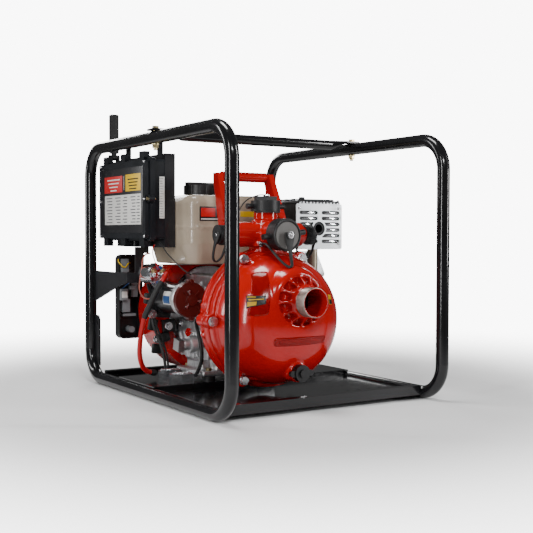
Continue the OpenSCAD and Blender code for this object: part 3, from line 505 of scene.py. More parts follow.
def flatMat(name, base, rough=0.4, metal=0.0):
    kit = Kit(name)
    drift = kit.noise(120, 3)
    colour = kit.mix(drift, base, tuple(c * 0.8 for c in base))
    return kit.done(Base_Color=colour, Roughness=drift * 0.1 + rough, Metallic=metal)


blackPaint = glossPaint("blackPaint", (0.004, 0.004, 0.0045), (0.007, 0.007, 0.008), 0.12, 0.00004,
                        0.12)
blackSatin = glossPaint("blackSatin", (0.010, 0.010, 0.012), (0.016, 0.016, 0.018), 0.32, 0.00006, 0.1)
redCast = castRed("redCast")
redCover = castRed("redCover", True)
redPaint = glossPaint("redPaint", (0.43, 0.003, 0.002), (0.32, 0.0025, 0.002), 0.14, 0.00005)
creamPaint = glossPaint("creamPaint", (0.40, 0.33, 0.25), (0.32, 0.26, 0.195), 0.18, 0.00004)
castAlu = castMetal("castAlu", (0.72, 0.72, 0.73), (0.40, 0.40, 0.41), 0.26, 0.5)
headAlu = castMetal("headAlu", (0.42, 0.42, 0.43), (0.22, 0.22, 0.23), 0.38, 0.7)
# the crankcase cover's cast aluminium, a darker copy of castAlu for the shade it sits in: painted shade
shadedCastAlu = castMetal("shadedCastAlu", (0.20, 0.19, 0.19), (0.09, 0.085, 0.085), 0.34, 0.7)
paleAlu = castMetal("paleAlu", (0.74, 0.75, 0.76), (0.55, 0.56, 0.57), 0.28, 0.15)
boltSteel = metalMat("boltSteel", (0.78, 0.78, 0.79), (0.50, 0.50, 0.52), 0.16, grime=0.25)
goldZinc = metalMat("goldZinc", (0.66, 0.55, 0.30), (0.46, 0.38, 0.22), 0.22, grime=0.2)
guardSteel = metalMat("guardSteel", (0.44, 0.45, 0.46), (0.30, 0.31, 0.32), 0.24, grain=160,
                      stretch=(1, 1, 14), grime=0.08)
pipeSteel = metalMat("pipeSteel", (0.42, 0.36, 0.29), (0.22, 0.17, 0.12), 0.30, grime=0.4)
chromeMat = metalMat("chromeMat", (0.80, 0.81, 0.83), (0.66, 0.67, 0.70), 0.08, grime=0.1)
clipSteel = metalMat("clipSteel", (0.52, 0.52, 0.52), (0.30, 0.30, 0.30), 0.34, grime=0.45)
brassMat = metalMat("brassMat", (0.72, 0.54, 0.26), (0.50, 0.36, 0.16), 0.28)
blackPlastic = plasticMat("blackPlastic", (0.004, 0.004, 0.0045), 0.30)
boxPlastic = plasticMat("boxPlastic", (0.005, 0.006, 0.008), 0.24, 1600, 0.00008)
capPlastic = plasticMat("capPlastic", (0.006, 0.006, 0.0065), 0.36, 900, 0.0002)
greyDisc = plasticMat("greyDisc", (0.085, 0.082, 0.078), 0.45, 800, 0.0002, (0.14, 0.135, 0.13))
rubberMat = plasticMat("rubberMat", (0.006, 0.006, 0.006), 0.45, 700, 0.0002)
mufflerBlack = metalMat("mufflerBlack", (0.030, 0.030, 0.031), (0.014, 0.014, 0.014), 0.42, 0.5,
                        grime=0.2)
# the starter's black end cap painted dark red: a painted reflection of the red pump
redReflectionCap = glossPaint("redReflectionCap", (0.075, 0.008, 0.006), (0.048, 0.006, 0.005), 0.30, 0.0001)
starterBlack = glossPaint("starterBlack", (0.006, 0.006, 0.007), (0.011, 0.011, 0.012), 0.28, 0.00006)
redRubber = plasticMat("redRubber", (0.33, 0.004, 0.005), 0.26, 500, 0.0001, (0.40, 0.007, 0.008))
pinkWire = flatMat("pinkWire", (0.34, 0.07, 0.045), 0.35)
whiteMat = flatMat("whiteMat", (0.72, 0.71, 0.68), 0.35)
greyMat = flatMat("greyMat", (0.16, 0.17, 0.18), 0.4)
blueMat = flatMat("blueMat", (0.006, 0.06, 0.20), 0.3)
yellowMat = flatMat("yellowMat", (0.80, 0.50, 0.004), 0.4)
labelBlack = flatMat("labelBlack", (0.012, 0.012, 0.014), 0.28)
labelRed = flatMat("labelRed", (0.55, 0.004, 0.004), 0.4)
labelInk = flatMat("labelInk", (0.10, 0.10, 0.11), 0.5)
boardGreen = flatMat("boardGreen", (0.01, 0.16, 0.05), 0.35)
ropeMat = flatMat("ropeMat", (0.7, 0.7, 0.68), 0.8)

finishNodes = {  # the CAD pieces that each finish is on
    blackPaint: "left_hoop right_hoop top_crossbar base_pan engine_plate",
    goldZinc: "frame_bolts",
    blackSatin: "box_bracket box_tray throttle_lever",
    rubberMat: "rubber_mounts negative_lead strap_front strap_left strap_right recoil_grip "
               "suction_flap",
    castAlu: "crankcase carburettor flywheel",
    shadedCastAlu: "crankcase_cover",
    headAlu: "cylinder_block cylinder_head",
    paleAlu: "rocker_cover",
    redPaint: "fan_cover recoil_cover",
    creamPaint: "fuel_tank",
    blackPlastic: "air_cleaner control_housing pump_inserts fuel_cap choke_lever fuel_tap_lever "
                  "antenna",
    mufflerBlack: "muffler",
    guardSteel: "muffler_guard",
    pipeSteel: "exhaust_pipe",
    starterBlack: "starter_motor",
    redReflectionCap: "starter_cap",
    chromeMat: "solenoid battery_clamps ignition_key",
    greyMat: "control_parts",
    redCast: "pump_adapter manifold lifting_handle",
    redCover: "pump_cover",
    boltSteel: "cover_bolts crankshaft",
    boxPlastic: "box_base box_lid",
    redRubber: "positive_lead",
    brassMat: "impellers",
    capPlastic: "front_cap left_cap right_cap priming_cap drain_plug",
    clipSteel: "oil_cap",
    ropeMat: "recoil_rope",
    whiteMat: "recoil_pulley",
}
nodeFinish = {node: mat for mat, group in finishNodes.items() for node in group.split()}
softEdge = {  # width of the rounded edge, in metres, and the pieces that have it
    0.0004: "muffler_guard",
    0.0005: "box_tray frame_bolts box_bracket battery_clamps",
    0.0006: "base_pan engine_plate cylinder_block cover_bolts",
    0.0007: "muffler cylinder_head carburettor",
    0.0008: "fan_cover control_parts",
    0.001: "box_base starter_cap starter_motor solenoid air_cleaner control_housing fuel_cap "
           "front_cap priming_cap left_cap right_cap antenna recoil_cover drain_plug "
           "crankcase_cover",
    0.0012: "box_lid oil_cap",
    0.0015: "rocker_cover",
    0.003: "lifting_handle",
}
edgeWidth = {node: width for width, group in softEdge.items() for node in group.split()}
for nodeName, cadPiece in nodes.items():
    finish = nodeFinish[nodeName]
    if not cadPiece.data.materials:
        cadPiece.data.materials.append(finish)
    for slot in cadPiece.material_slots:
        slot.link = "OBJECT"
        slot.material = finish
    if nodeName in edgeWidth:
        soft = cadPiece.modifiers.new("edge", "BEVEL")
        soft.width = edgeWidth[nodeName]
        soft.segments = 2
        soft.limit_method = "ANGLE"
        soft.angle_limit = math.radians(40)
        soft.harden_normals = False
        soft.use_clamp_overlap = True

print("stage: cords")


def wire(name, info):
    # a cord whose two ends both go into the machine; sleeves give shares of its length and a radius
    path = smoothPath([at(*p) for p in info["route"]], info.get("step", 0.003))
    bm = bmesh.new()
    tubeMesh(bm, path, info["radius"] / 1000, info.get("sides", 8))
    piece = fromBmesh(name, bm, info["mat"], 60)
    if "node" in info:
        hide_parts(info["node"])
    for part, (start, end, radius, mat) in info.get("sleeves", {}).items():
        cut = path[int(start * len(path)):int(end * len(path)) + 1]
        bm = bmesh.new()
        tubeMesh(bm, cut, lambda t, r=radius: (r if 0.02 < t < 0.98 else r * 0.9) / 1000, 16)
        fromBmesh(part, bm, mat, 60)
    length = sum((b - a).length for a, b in zip(path, path[1:]))
    info["radius"] / 500


wires = {
    "redLead": {
        "radius": 5.5, "mat": redRubber, "node": "positive_lead", "sides": 20, "step": 0.004,
        "stiff": "stiff",
        "sleeves": {"redLeadSleeve": (0.10, 0.42, 6.6, rubberMat),
                    "redLeadCollar": (0.93, 1.0, 7.0, rubberMat)},
        "route": [
            (-154, 38, 90), (-162, 32, 82), (-171, 31, 70), (-178, 34, 56), (-185, 39, 39),
            (-192, 46, 17), (-198, 53, -2), (-201, 60, -24), (-202, 66, -46), (-202, 71, -68),
            (-200, 76, -86), (-195, 81, -102), (-187, 86, -116), (-175, 91, -126), (-162, 94, -130),
            (-152, 96, -132)]},
    "blackLead": {
        "radius": 4, "mat": rubberMat, "node": "negative_lead", "sides": 16, "step": 0.004,
        "stiff": "medium",
        "route": [
            (-89, 24, -18), (-95, 10, -26), (-99, -4, -38), (-100, -13, -52), (-100, -18, -68),
            (-98, -18, -84), (-97, -14, -99), (-97, -6, -112), (-98, 2, -123), (-100, 8, -132)]},
    "pinkWire": {
        "radius": 1.6, "mat": pinkWire,
        "route": [
            (-160, 107, 132), (-168, 108, 131), (-174, 108, 126), (-179, 106, 116),
            (-181, 104, 104), (-184, 102, 92), (-187, 100, 80), (-190, 97, 68), (-192, 94, 56),
            (-191, 89, 45), (-188, 82, 37), (-182, 74, 34), (-175, 66, 37), (-169, 58, 44),
            (-166, 50, 54), (-164, 44, 64), (-160, 42, 74)]},
    "loomWire": {
        "radius": 3.2, "mat": rubberMat, "sides": 12, "step": 0.004,
        "route": [
            (-160, 120, 66), (-157, 120, 54), (-154, 118, 42), (-153, 116, 30), (-154, 113, 16),
            (-156, 109, 2), (-157, 104, -12), (-156, 99, -26), (-153, 95, -39), (-149, 91, -52),
            (-146, 86, -66), (-143, 82, -80), (-141, 79, -94), (-139, 77, -108), (-138, 76, -121)]},
    "loomTwin": {
        "radius": 2.4, "mat": rubberMat, "sides": 10, "step": 0.004,
        "route": [
            (-152, 122, 64), (-149, 123, 52), (-146, 121, 40), (-145, 119, 26), (-147, 116, 12),
            (-148, 112, -2), (-148, 107, -16), (-146, 103, -30), (-142, 99, -44), (-138, 95, -58),
            (-134, 91, -72), (-131, 88, -84), (-129, 86, -98), (-128, 84, -110), (-128, 83, -121)]},
    "redThinWire": {
        "radius": 1.1, "mat": redRubber,
        "route": [
            (-167, 68, 150), (-171, 62, 152), (-175, 57, 149), (-178, 55, 142), (-179, 54, 134),
            (-178, 53, 127), (-176, 52, 120), (-174, 51, 113), (-171, 50, 107), (-168, 50, 102),
            (-164, 52, 99), (-160, 56, 96)]},
    "blackThinWire": {
        "radius": 1.3, "mat": rubberMat,
        "route": [
            (-160, 66, 158), (-157, 60, 154), (-154, 54, 147), (-151, 50, 139), (-147, 44, 131),
            (-143, 36, 123), (-139, 28, 116), (-136, 20, 109), (-132, 12, 102), (-127, 5, 96),
            (-122, -1, 91), (-116, -4, 88)]},
    "yellowWire": {
        "radius": 1.4, "mat": yellowMat,
        "route": [
            (-160, 214, 108), (-166, 207, 110), (-171, 202, 106), (-176, 200, 101), (-181, 199, 99),
            (-186, 199, 102), (-190, 201, 107), (-192, 206, 112), (-190, 212, 117)]},
    "blueWire": {
        "radius": 1.4, "mat": blueMat,
        "route": [
            (-184, 214, 48), (-182, 207, 51), (-179, 202, 55), (-175, 199, 59), (-170, 198, 63),
            (-164, 198, 66), (-158, 199, 68), (-152, 202, 70), (-147, 207, 71)]},
    "primingCable": {
        "radius": 1.3, "mat": rubberMat, "stiff": "medium",
        "route": [
            (-58, -92, 178), (-60, -94, 188), (-60, -97, 200), (-58, -98, 212), (-53, -98, 223),
            (-47, -97, 233), (-39, -97, 242), (-30, -99, 249), (-20, -104, 254), (-10, -110, 257),
            (-2, -114, 257)]},
}
for wireName, info in wires.items():
    wire(wireName, info)


def ribbon(name, points, widthAt, thick, across, mat, node):
    # a moulded rubber strap: a flat section swept along its line, wide at its eyes
    path = smoothPath([at(*p) for p in points], 0.0022)
    bm = bmesh.new()
    rings = []
    last = len(path) - 1
    squareness = 0.55  # 1 would be an oval section, 0 a rectangle
    for i, p in enumerate(path):
        ahead = (path[min(i + 1, last)] - path[max(i - 1, 0)]).normalized()
        wideWay = Vector(across)
        wideWay = (wideWay - ahead * wideWay.dot(ahead)).normalized()
        upWay = ahead.cross(wideWay)
        w = widthAt(i / last) / 1000
        h = thick / 2000
        ring = []
        for a in spin(16):
            c = math.copysign(abs(math.cos(a)) ** squareness, math.cos(a))
            d = math.copysign(abs(math.sin(a)) ** squareness, math.sin(a))
            ring.append(bm.verts.new(p + wideWay * (w * c) + upWay * (h * d)))
        rings.append(ring)
    skin(bm, rings)
    bmesh.ops.recalc_face_normals(bm, faces=bm.faces)
    mesh = meshOf(name, bm)
    mesh.materials.append(mat)
    mesh.shade_smooth()
    piece = addObject(name, mesh)
    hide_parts(node)
    at(*points[2])
    at(*points[-1])
    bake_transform(piece)


def eyeWidth(t):
    # teardrop eye at the cap, a slim neck, and a tab at the fixed end
    head = 9.0 * math.exp(-(t / 0.17) ** 2)
    return 3.1 + head + 3.4 * math.exp(-((t - 1) / 0.06) ** 2)


sideRoute = [(120, -124, 178), (120.5, -122, 168), (122, -119, 156), (122, -112, 138),
             (117, -103, 123), (106, -97, 118), (95, -98, 128), (90, -101, 144), (88, -106, 155)]
straps = {
    "frontStrap": {
        "across": (1, 0, 0.1), "node": "strap_front", "body": "front_cap",
        "route": [
            (0, -208, 178), (0, -208.5, 170), (-1, -210, 156), (-2, -214, 140), (-4, -221, 124),
            (-8, -229, 113), (-15, -232, 109), (-22, -228, 113), (-28, -216, 123), (-31, -199, 136),
            (-32, -182, 148), (-32, -166, 155), (-33, -153, 155)]},
    "rightStrap": {
        "route": sideRoute, "across": (0, 1, 0), "node": "strap_right", "body": "right_cap"},
    "leftStrap": {
        "route": [(-x, y, z) for x, y, z in sideRoute], "across": (0, 1, 0), "node": "strap_left",
        "body": "left_cap"},
}
strapThick = 3.4
for strapName, info in straps.items():
    ribbon(strapName, info["route"], eyeWidth, strapThick, info["across"], rubberMat,
           info["node"])

print("stage: cast pieces")
castSkins = {
    "pumpHead": {"node": "pump_cover", "voxel": 0.0022, "rounds": 4, "mat": redCover},
    "pumpBack": {"node": "pump_adapter", "voxel": 0.0021, "rounds": 4, "mat": redCast},
    "outletBody": {"node": "manifold", "voxel": 0.0014, "rounds": 5, "mat": redCast},
    "engineCase": {"node": "crankcase", "voxel": 0.0024, "rounds": 4, "mat": castAlu},
    "tankShell": {"node": "fuel_tank", "voxel": 0.0022, "rounds": 10, "mat": creamPaint},
}
for skinName, info in castSkins.items():
    castCopy(skinName, **info)

print("stage: pump details")
dome = {"radius": 136, "widest": 135.0, "base": -142, "rise": 112, "shoulder": 0.76, "crown": 0.84}


def domeDepth(x, z):
    # how far forward the cover's crown stands at a point of its face
    r = min(math.hypot(x, z), dome["widest"])
    t = math.acos(min(1.0, (r / dome["radius"]) ** (1 / dome["shoulder"])))
    return dome["base"] - dome["rise"] * math.sin(t) ** dome["crown"]


def domePatch(name, corners, lift, mat, round=0.0, steps=(22, 12)):
    # a thin plate lying on the crown, its border sunk into it
    bm = bmesh.new()
    nu, nv = steps
    sunk = -0.8
    grid = []
    for j in range(nv + 1):
        row = []
        for i in range(nu + 1):
            u = i / nu * 2 - 1
            v = j / nv * 2 - 1
            if round:  # pull the corners in
                u, v = u * math.sqrt(1 - round * v * v / 2), v * math.sqrt(1 - round * u * u / 2)
            a, b = (u + 1) / 2, (v + 1) / 2
            low = Vector(corners[0]).lerp(Vector(corners[1]), a)
            high = Vector(corners[3]).lerp(Vector(corners[2]), a)
            x, z = low.lerp(high, b)
            y = domeDepth(x, z)
            slope = Vector((domeDepth(x + 1, z) - domeDepth(x - 1, z), -2,
                            domeDepth(x, z + 1) - domeDepth(x, z - 1))).normalized()
            edge = i in (0, nu) or j in (0, nv)
            row.append(bm.verts.new(at(x, y, z) + slope * ((sunk if edge else lift) / 1000)))
        grid.append(row)
    for j in range(nv):
        for i in range(nu):
            bm.faces.new((grid[j][i], grid[j][i + 1], grid[j + 1][i + 1], grid[j + 1][i]))
    bmesh.ops.solidify(bm, geom=list(bm.faces), thickness=0.0006)
    fromBmesh(name, bm, mat, 50)


crownPlates = {
    "crownPanel": {"corners": [(-112, 10), (-72, 12), (-56, 106), (-84, 100)], "lift": 1.3,
                   "round": 0.25, "mat": redCast},
    "crownLabelDark": {"corners": [(-109, 28), (-75, 37), (-72, 55), (-105, 55)], "lift": 2.0,
                       "round": 0.06, "mat": labelBlack},
    "crownLabelStripe": {"corners": [(-104, 44), (-77, 46), (-77, 48), (-103, 47)], "lift": 2.3,
                         "mat": yellowMat},
    "crownLabelTop": {"corners": [(-104, 49.5), (-90, 50), (-90, 52), (-103, 52)], "lift": 2.3,
                      "mat": yellowMat},
    "crownLabelYellow": {"corners": [(-107, 31.5), (-92, 35), (-90, 43), (-105, 42)], "lift": 2.3,
                         "mat": yellowMat},
    "crownCartouche": {"corners": [(-62, -48), (63, -46), (65, -29), (-63, -28)], "lift": 1.4,
                       "round": 0.3, "mat": redCast, "steps": (40, 10)},
    "crownCartoucheInner": {"corners": [(-52, -43), (52, -41.5), (54, -33), (-53, -32.5)], "lift": 2.4,
                            "round": 0.35, "mat": redCast, "steps": (36, 8)},
    "crownLabelRight": {"corners": [(75, 31), (88, 30), (86, 52), (76, 53)], "lift": 0.5, "round": 0.1,
                        "mat": yellowMat},
    "crownLabelRightDark": {"corners": [(76, 32), (87, 31), (86, 42), (76, 43)], "lift": 0.9,
                            "round": 0.1, "mat": labelBlack},
}
for plateName, info in crownPlates.items():
    domePatch(plateName, **info)

capAxisZ = 172
frontCapFace = at(0, -199, capAxisZ)
lathe("frontCapDisc", [(0, 2.0), (27.0, 2.0), (27.8, 1.4), (28.6, 0.2), (28.6, -0.6), (0, -0.6)],
      frontCapFace, (0, -1, 0), greyDisc, 64, "front_cap")
lathe("frontCapRim", [(29.2, -0.4), (29.2, 2.2), (30.2, 3.0), (32.0, 3.0), (33.0, 1.8), (33.0, -0.4)],
      frontCapFace, (0, -1, 0), capPlastic, 64, "front_cap")


def hexNut(bm, radius, height):
    # a hexagon on a washer, its corners turned off, with the stud's end showing
    rings = []
    for r, d in ((radius, 0), (radius, height * 0.8), (radius * 0.86, height)):
        rings.append([bm.verts.new((r * math.cos(a) / 1000, r * math.sin(a) / 1000, d / 1000))
                      for a in spin(6)])
    skin(bm, rings)
    latheMesh(bm, [(0, height + 1.4), (radius * 0.45, height + 1.4), (radius * 0.5, height + 1.0),
                   (radius * 0.5, height - 0.4), (0, height - 0.4)], steps=16)
    latheMesh(bm, [(radius * 1.35, 0.0), (radius * 1.35, 0.9), (radius * 0.9, 1.1),
                   (radius * 0.9, 0.0)], steps=24)


def nuts(name, radius, height, places, mat=boltSteel, body="frame_body"):
    scatter(name, lambda bm: hexNut(bm, radius, height), places, mat, body)


nuts("frontCapNut", 5.6, 3.6, [(at(0, -211.6, capAxisZ + 1), (0, -1, 0), 10, 1)], body="front_cap")
nuts("rightCapNut", 5.0, 3.0, [(at(118.8, -124, capAxisZ), (1, 0, 0), 10, 1)], body="right_cap")
nuts("leftCapNut", 5.0, 3.0, [(at(-118.8, -124, capAxisZ), (-1, 0, 0), 10, 1)], body="left_cap")
nuts("strapScrews", 5.0, 2.6, [(at(-33, -151.5, 155), (0, -1, 0), 0, 0.9),
                               (at(87.5, -104, 156), (0.3, -0.3, 0.9), 20, 0.8),
                               (at(-87.5, -104, 156), (-0.3, -0.3, 0.9), 20, 0.8)])


def gripRib(bm):
    roundBox(bm, (-0.0011, -0.0010, -0.0072), (0.0011, 0.0010, 0.0072), 0.0006)


def ribsAround(centre, axis, radius=19.2, count=28):
    # places for ribs in a ring round a cap's axis
    axis = Vector(axis)
    side = axis.orthogonal().normalized()
    other = axis.cross(side)
    return [(centre + spoke, axis, 0, 1) for spoke in ringOf(side, other, radius / 1000, count)]


for ribName, side, body in (("sideCapRibsRight", 1, "right_cap"), ("sideCapRibsLeft", -1, "left_cap")):
    places = ribsAround(at(side * 106, -124, capAxisZ), (side, 0, 0))
    scatter(ribName, gripRib, places, capPlastic, body)
lathe("primingTether", [(26.6, 0), (26.6, 3.2), (23.6, 3.2), (23.6, 0)], at(0, -124, 219.2),
      (0, 0, 1), rubberMat, 40)
nuts("primingPostNut", 4.6, 2.6, [(at(0, -124, 254.2), (0, 0, 1), 12, 1)], body="priming_cap")

print("stage: labels")
tankFace = -12
tankPlates = {
    "tankLabel": [(-100, tankFace - 0.5, 203), (-45, tankFace + 0.4, 234), labelBlack],
    "tankLabelRed": [(-97, tankFace - 0.7, 212), (-62, tankFace, 231), labelRed],
    "tankLabelLine": [(-97, tankFace - 0.7, 206), (-50, tankFace, 208.4), whiteMat],
    "tankLabelYellow": [(1, tankFace - 0.5, 213), (35, tankFace + 0.4, 225), yellowMat],
}
lidX = -245
lidPrint = lidX - 0.8
boxPlates = {
    "lidSheet": [(lidX - 0.5, 60, 352), (lidX + 0.3, 287, 496), labelBlack],
    "lidRed": [(lidPrint, 167, 443), (lidX, 267, 480), labelRed],
    "lidYellow": [(lidPrint, 71, 444), (lidX, 149, 481), yellowMat],
    "lidWhite": [(lidPrint, 69, 370.5), (lidX, 265, 437), whiteMat],
    "lidRule": [(lidPrint, 157.4, 447), (lidX, 158.6, 479), whiteMat],
}
plateEdge = 0.0002
for plates, place in ((tankPlates, at), (boxPlates, mm)):
    for plateName, (low, high, mat) in plates.items():
        boxPiece(plateName, place(*low), place(*high), mat, plateEdge)


def inkBar(bm):
    roundBox(bm, (-0.5, -0.5, -0.5), (0.5, 0.5, 0.5), 0)


def inkBars(name, places, mat):
    # plain printed bars, given as a middle and a size in metres
    scatter(name, inkBar, [(middle, (0, 0, 1), 0, size) for middle, size in places], mat, smooth=0)


bars = []
for row in range(9):
    z = 431 - row * 6.9
    for start, size in ((74, 12 + row % 3 * 3), (96, 26 - row % 4 * 3), (140, 18 + row % 2 * 6),
                        (176, 30 - row % 3 * 5), (222, 34 - row % 4 * 4)):
        bars.append((mm(lidX - 0.75, start + size / 2, z), (0.0004, size / 1000, 0.0022)))
inkBars("lidInk", bars, labelInk)
inkBars("lidDarkInk", [(mm(lidX - 0.85, 110, 470 - k * 7), (0.0003, 0.055 - k * 0.006, 0.0026))
                       for k in range(4)], labelBlack)
inkBars("lidPaleInk", [(mm(lidX - 0.85, 215, 472 - k * 8), (0.0003, 0.070 - k * 0.012, 0.0028))
                       for k in range(4)], whiteMat)
trayFace = 51.2
boxPiece("sideScale", mm(-210, trayFace - 0.5, 383.5), mm(-198, trayFace + 0.3, 473.5), whiteMat,
         plateEdge)
inkBars("sideScaleTicks", [(mm(-206, trayFace - 0.6, 388 + k * 5.4),
                            (0.006 if k % 3 else 0.010, 0.0003, 0.0009)) for k in range(16)], labelInk)


def panScrew(bm):
    latheMesh(bm, [(0, 2.2), (1.4, 2.1), (2.8, 1.5), (3.4, 0.6), (3.5, -0.6), (0, -0.6)], steps=20)


scatter("boxScrews", panScrew, [(mm(lidX - 0.2, y, z), (-1, 0, 0), 0, 0.9) for y in (54, 294)
                                for z in (345, 425, 505)], boltSteel)


def weldScale(bm):
    latheMesh(bm, [(0, -1.1), (0.8, -0.8), (1.0, -0.1), (0.9, 0.6), (0, 0.9)], steps=12)


def weldBead(name, points, radius):
    # a row of overlapping scales along a joint
    path = smoothPath(points, 0.0022)
    scatter(name, weldScale, [(a, b - a, 0, radius) for a, b in zip(path, path[1:])], blackPaint)


print("stage: electrics")
starterX, starterZ = -124, 35
lathe("starterLabelBand", [(36.7, 0), (36.9, 0.3), (36.9, 15.2), (36.7, 15.6), (36.2, 15.6), (36.2, 0)],
      at(starterX, -7.7, starterZ), (0, 1, 0), paleAlu, 64)


def bandPatch(name, radius, start, end, y0, y1, lift, mat):
    # a label wrapped round the starter, angles in degrees from +x towards +z
    bm = bmesh.new()
    steps = 18
    rows = []
    for k in range(steps + 1):
        a = math.radians(start + (end - start) * k / steps)
        row = []
        for r in (radius + lift, radius - 0.4):
            for y in (y0, y1):
                row.append(bm.verts.new(at(starterX + r * math.cos(a), y, starterZ + r * math.sin(a))))
        rows.append(row)
    for p, q in zip(rows, rows[1:]):
        bm.faces.new((p[0], p[1], q[1], q[0]))
        bm.faces.new((p[2], q[2], q[3], p[3]))
        bm.faces.new((p[0], q[0], q[2], p[2]))
        bm.faces.new((p[1], p[3], q[3], q[1]))
    for row in (rows[0], rows[-1]):
        bm.faces.new((row[0], row[2], row[3], row[1]))
    fromBmesh(name, bm, mat, 50)


bandPatch("starterLabel", 33, 150, 200, 16, 50, 0.3, whiteMat)
bandPatch("starterLabelBlue", 33.1, 168, 197, 18, 48, 0.5, blueMat)
nuts("solenoidNuts", 5.2, 3.6, [(at(-174, 57.2, 94), (0, -1, 0), 10, 0.9),
                                (at(-154, 57.2, 94), (0, -1, 0), 25, 0.9)], goldZinc)

blocks = {
    "plugBlueLow": [(-166, 52, 98), (-157, 66, 105), blueMat],
    "plugBlueHigh": [(-166, 50, 66), (-158, 62, 73), blueMat],
    "plugDark": [(-176, 60, 104), (-164, 72, 112), rubberMat],
    "relayBody": [(-190, 197, 24), (-172, 206, 50), greyMat],
    "relayLabel": [(-188, 196.4, 30), (-175, 197.4, 44), whiteMat],
}
for i, (x, z, size, mat) in enumerate(((-178, 92, 9, greyMat), (-166, 86, 7, rubberMat),
                                       (-183, 76, 8, boardGreen), (-160, 52, 8, greyMat))):
    high = size / 2
    blocks["housingBlock%d" % i] = [(x - size, 198, z - high), (x + size, 206, z + high), mat]
blockEdge = 0.0012
for blockName, (low, high, mat) in blocks.items():
    boxPiece(blockName, at(*low), at(*high), mat, blockEdge)

# the starter's end cap: a boss and three spring clips; the boss takes the cap's dark red, a painted
# reflection of the red pump
capFace = -20.2
lathe("starterBoss", [(0, 5.0), (6.5, 5.0), (7.6, 4.2), (8.0, 2.0), (12.5, 1.6), (13.0, -0.5),
                      (0, -0.5)], at(starterX, capFace, starterZ), (0, -1, 0), redReflectionCap, 40)


def clipArm(bm):
    roundBox(bm, (-0.0016, 0.006, -0.0006), (0.0016, 0.020, 0.0016), 0.0005)
    roundBox(bm, (-0.0032, 0.018, -0.0006), (0.0032, 0.0215, 0.0020), 0.0006)


scatter("starterClip", clipArm, [(at(starterX, capFace - 0.8, starterZ), (0, -1, 0), a, 1)
                                 for a in (20, 140, 260)], clipSteel)

print("stage: crankcase")
wallX = -84
upperWallX = -68


def wallRib(a, b, wide, tall, x):
    # a rib standing on a wall between two points given as (y, z)
    bm = bmesh.new()
    start, end = at(x, *a), at(x, *b)
    run = end - start
    half = Vector((tall / 2000, wide / 2000, run.length / 2))
    roundBox(bm, -half, half, 0.0013)
    up = run.normalized()
    out = Vector((-1, 0, 0))
    turn = Matrix((out, up.cross(out), up)).transposed()
    for v in bm.verts:
        v.co = turn @ v.co + (start + end) / 2
    return bm


caseRibs = {
    "crankcaseRibs": {
        "x": wallX, "wide": 3.2, "tall": 7.0, "mat": paleAlu,
        "lines": [
            ((-12, -40), (8, -96)), ((16, -38), (28, -96)), ((40, -40), (40, -98)),
            ((64, -40), (56, -98)), ((90, -40), (76, -98)), ((112, -44), (98, -96)),
            ((-14, -40), (112, -40)), ((-14, -72), (112, -72)), ((50, -44), (100, -94)),
            ((20, -94), (80, -44))]},
    "crankcaseUpperRibs": {
        "x": upperWallX, "wide": 3.4, "tall": 8.0, "mat": castAlu,
        "lines": [
            ((20, -14), (20, 60)), ((48, -14), (44, 70)), ((76, -14), (80, 70)),
            ((0, 20), (110, 24)), ((104, -10), (100, 66))]},
}
for ribName, info in caseRibs.items():
    whole = bmesh.new()
    for a, b in info["lines"]:
        part = meshOf("part", wallRib(a, b, info["wide"], info["tall"], info["x"]))
        whole.from_mesh(part)
        bpy.data.meshes.remove(part)
    fromBmesh(ribName, whole, info["mat"])


def washeredBolt(bm):
    hexNut(bm, 6.4, 5.0)
    latheMesh(bm, [(10.5, -2.0), (10.5, 1.2), (9.6, 1.9), (6.0, 1.9), (6.0, -2.0)], steps=28)


scatter("drainBolt", washeredBolt, [(at(wallX - 2, 67, -44), (-1, 0, 0), 12, 1)], redPaint)
scatter("crankcaseBolts", washeredBolt, [(at(wallX - 1, y, z), (-1, 0, 0), twist, 0.7) for y, z, twist
                                         in ((100, -86, 5), (4, -30, 25), (106, -26, 15))], boltSteel)
lathe("oilBoss", [(13.4, 0), (17.0, 0), (18.5, -4), (18.5, -16), (13.4, -16)], at(-118, 5, -62),
      (-1, 0, 0), paleAlu, 40)

# harness ducts between the starter and the blower, black blocks that also stand in for the deep shade
# over the blower there as painted shade: two corners and a lean in degrees
ductShadeBlocks = [((-172, 104, 20), (-150, 118, 44), 6), ((-168, 108, -8), (-142, 120, 14), -8),
         ((-160, 112, -40), (-138, 122, -14), 10), ((-150, 110, 44), (-112, 122, 62), 4),
         ((-140, 104, -66), (-112, 118, -46), -12), ((-138, 112, -12), (-104, 122, 40), 5),
         ((-152, 110, -92), (-126, 120, -70), 8), ((-128, 106, -44), (-96, 118, -16), -5)]
ductShadeMesh = bmesh.new()
for low, high, lean in ductShadeBlocks:
    roundBox(ductShadeMesh, at(*low), at(*high), 0.003, Matrix.Rotation(math.radians(lean), 3, "Y"))
fromBmesh("harnessDucts", ductShadeMesh, rubberMat)
boltPlaces = [((-156, 103, -2), 20, 1), ((-132, 101, 22), 70, 0.8), ((-146, 100, -58), 40, 0.9),
              ((-118, 100, -30), 10, 0.9), ((-122, 101, 52), 55, 0.8)]
scatter("harnessBolts", washeredBolt, [(at(*p), (0, -1, 0), twist, size)
                                       for p, twist, size in boltPlaces], boltSteel)


def jaw(bm):
    # the two jaws of a battery clamp, with their teeth and spring
    for side in (-1, 1):
        y = side * 0.0052
        roundBox(bm, (-0.024, y - 0.0016, 0.0092), (0.020, y + 0.0016, 0.0118), 0.0006)
        for k in range(5):
            roundBox(bm, (-0.023 + k * 0.004, side * 0.0036 - 0.0012, 0.0105),
                     (-0.021 + k * 0.004, side * 0.0036 + 0.0012, 0.0132), 0.0004)
    pivot = (0.006, 0, 0.0105)
    latheMesh(bm, [(0, 2.4), (3.0, 2.4), (3.6, 1.6), (3.6, -1.0), (0, -1.0)], pivot, steps=20)
    latheMesh(bm, [(4.6, 1.2), (5.4, 1.2), (5.4, -0.8), (4.6, -0.8)], pivot, steps=24)


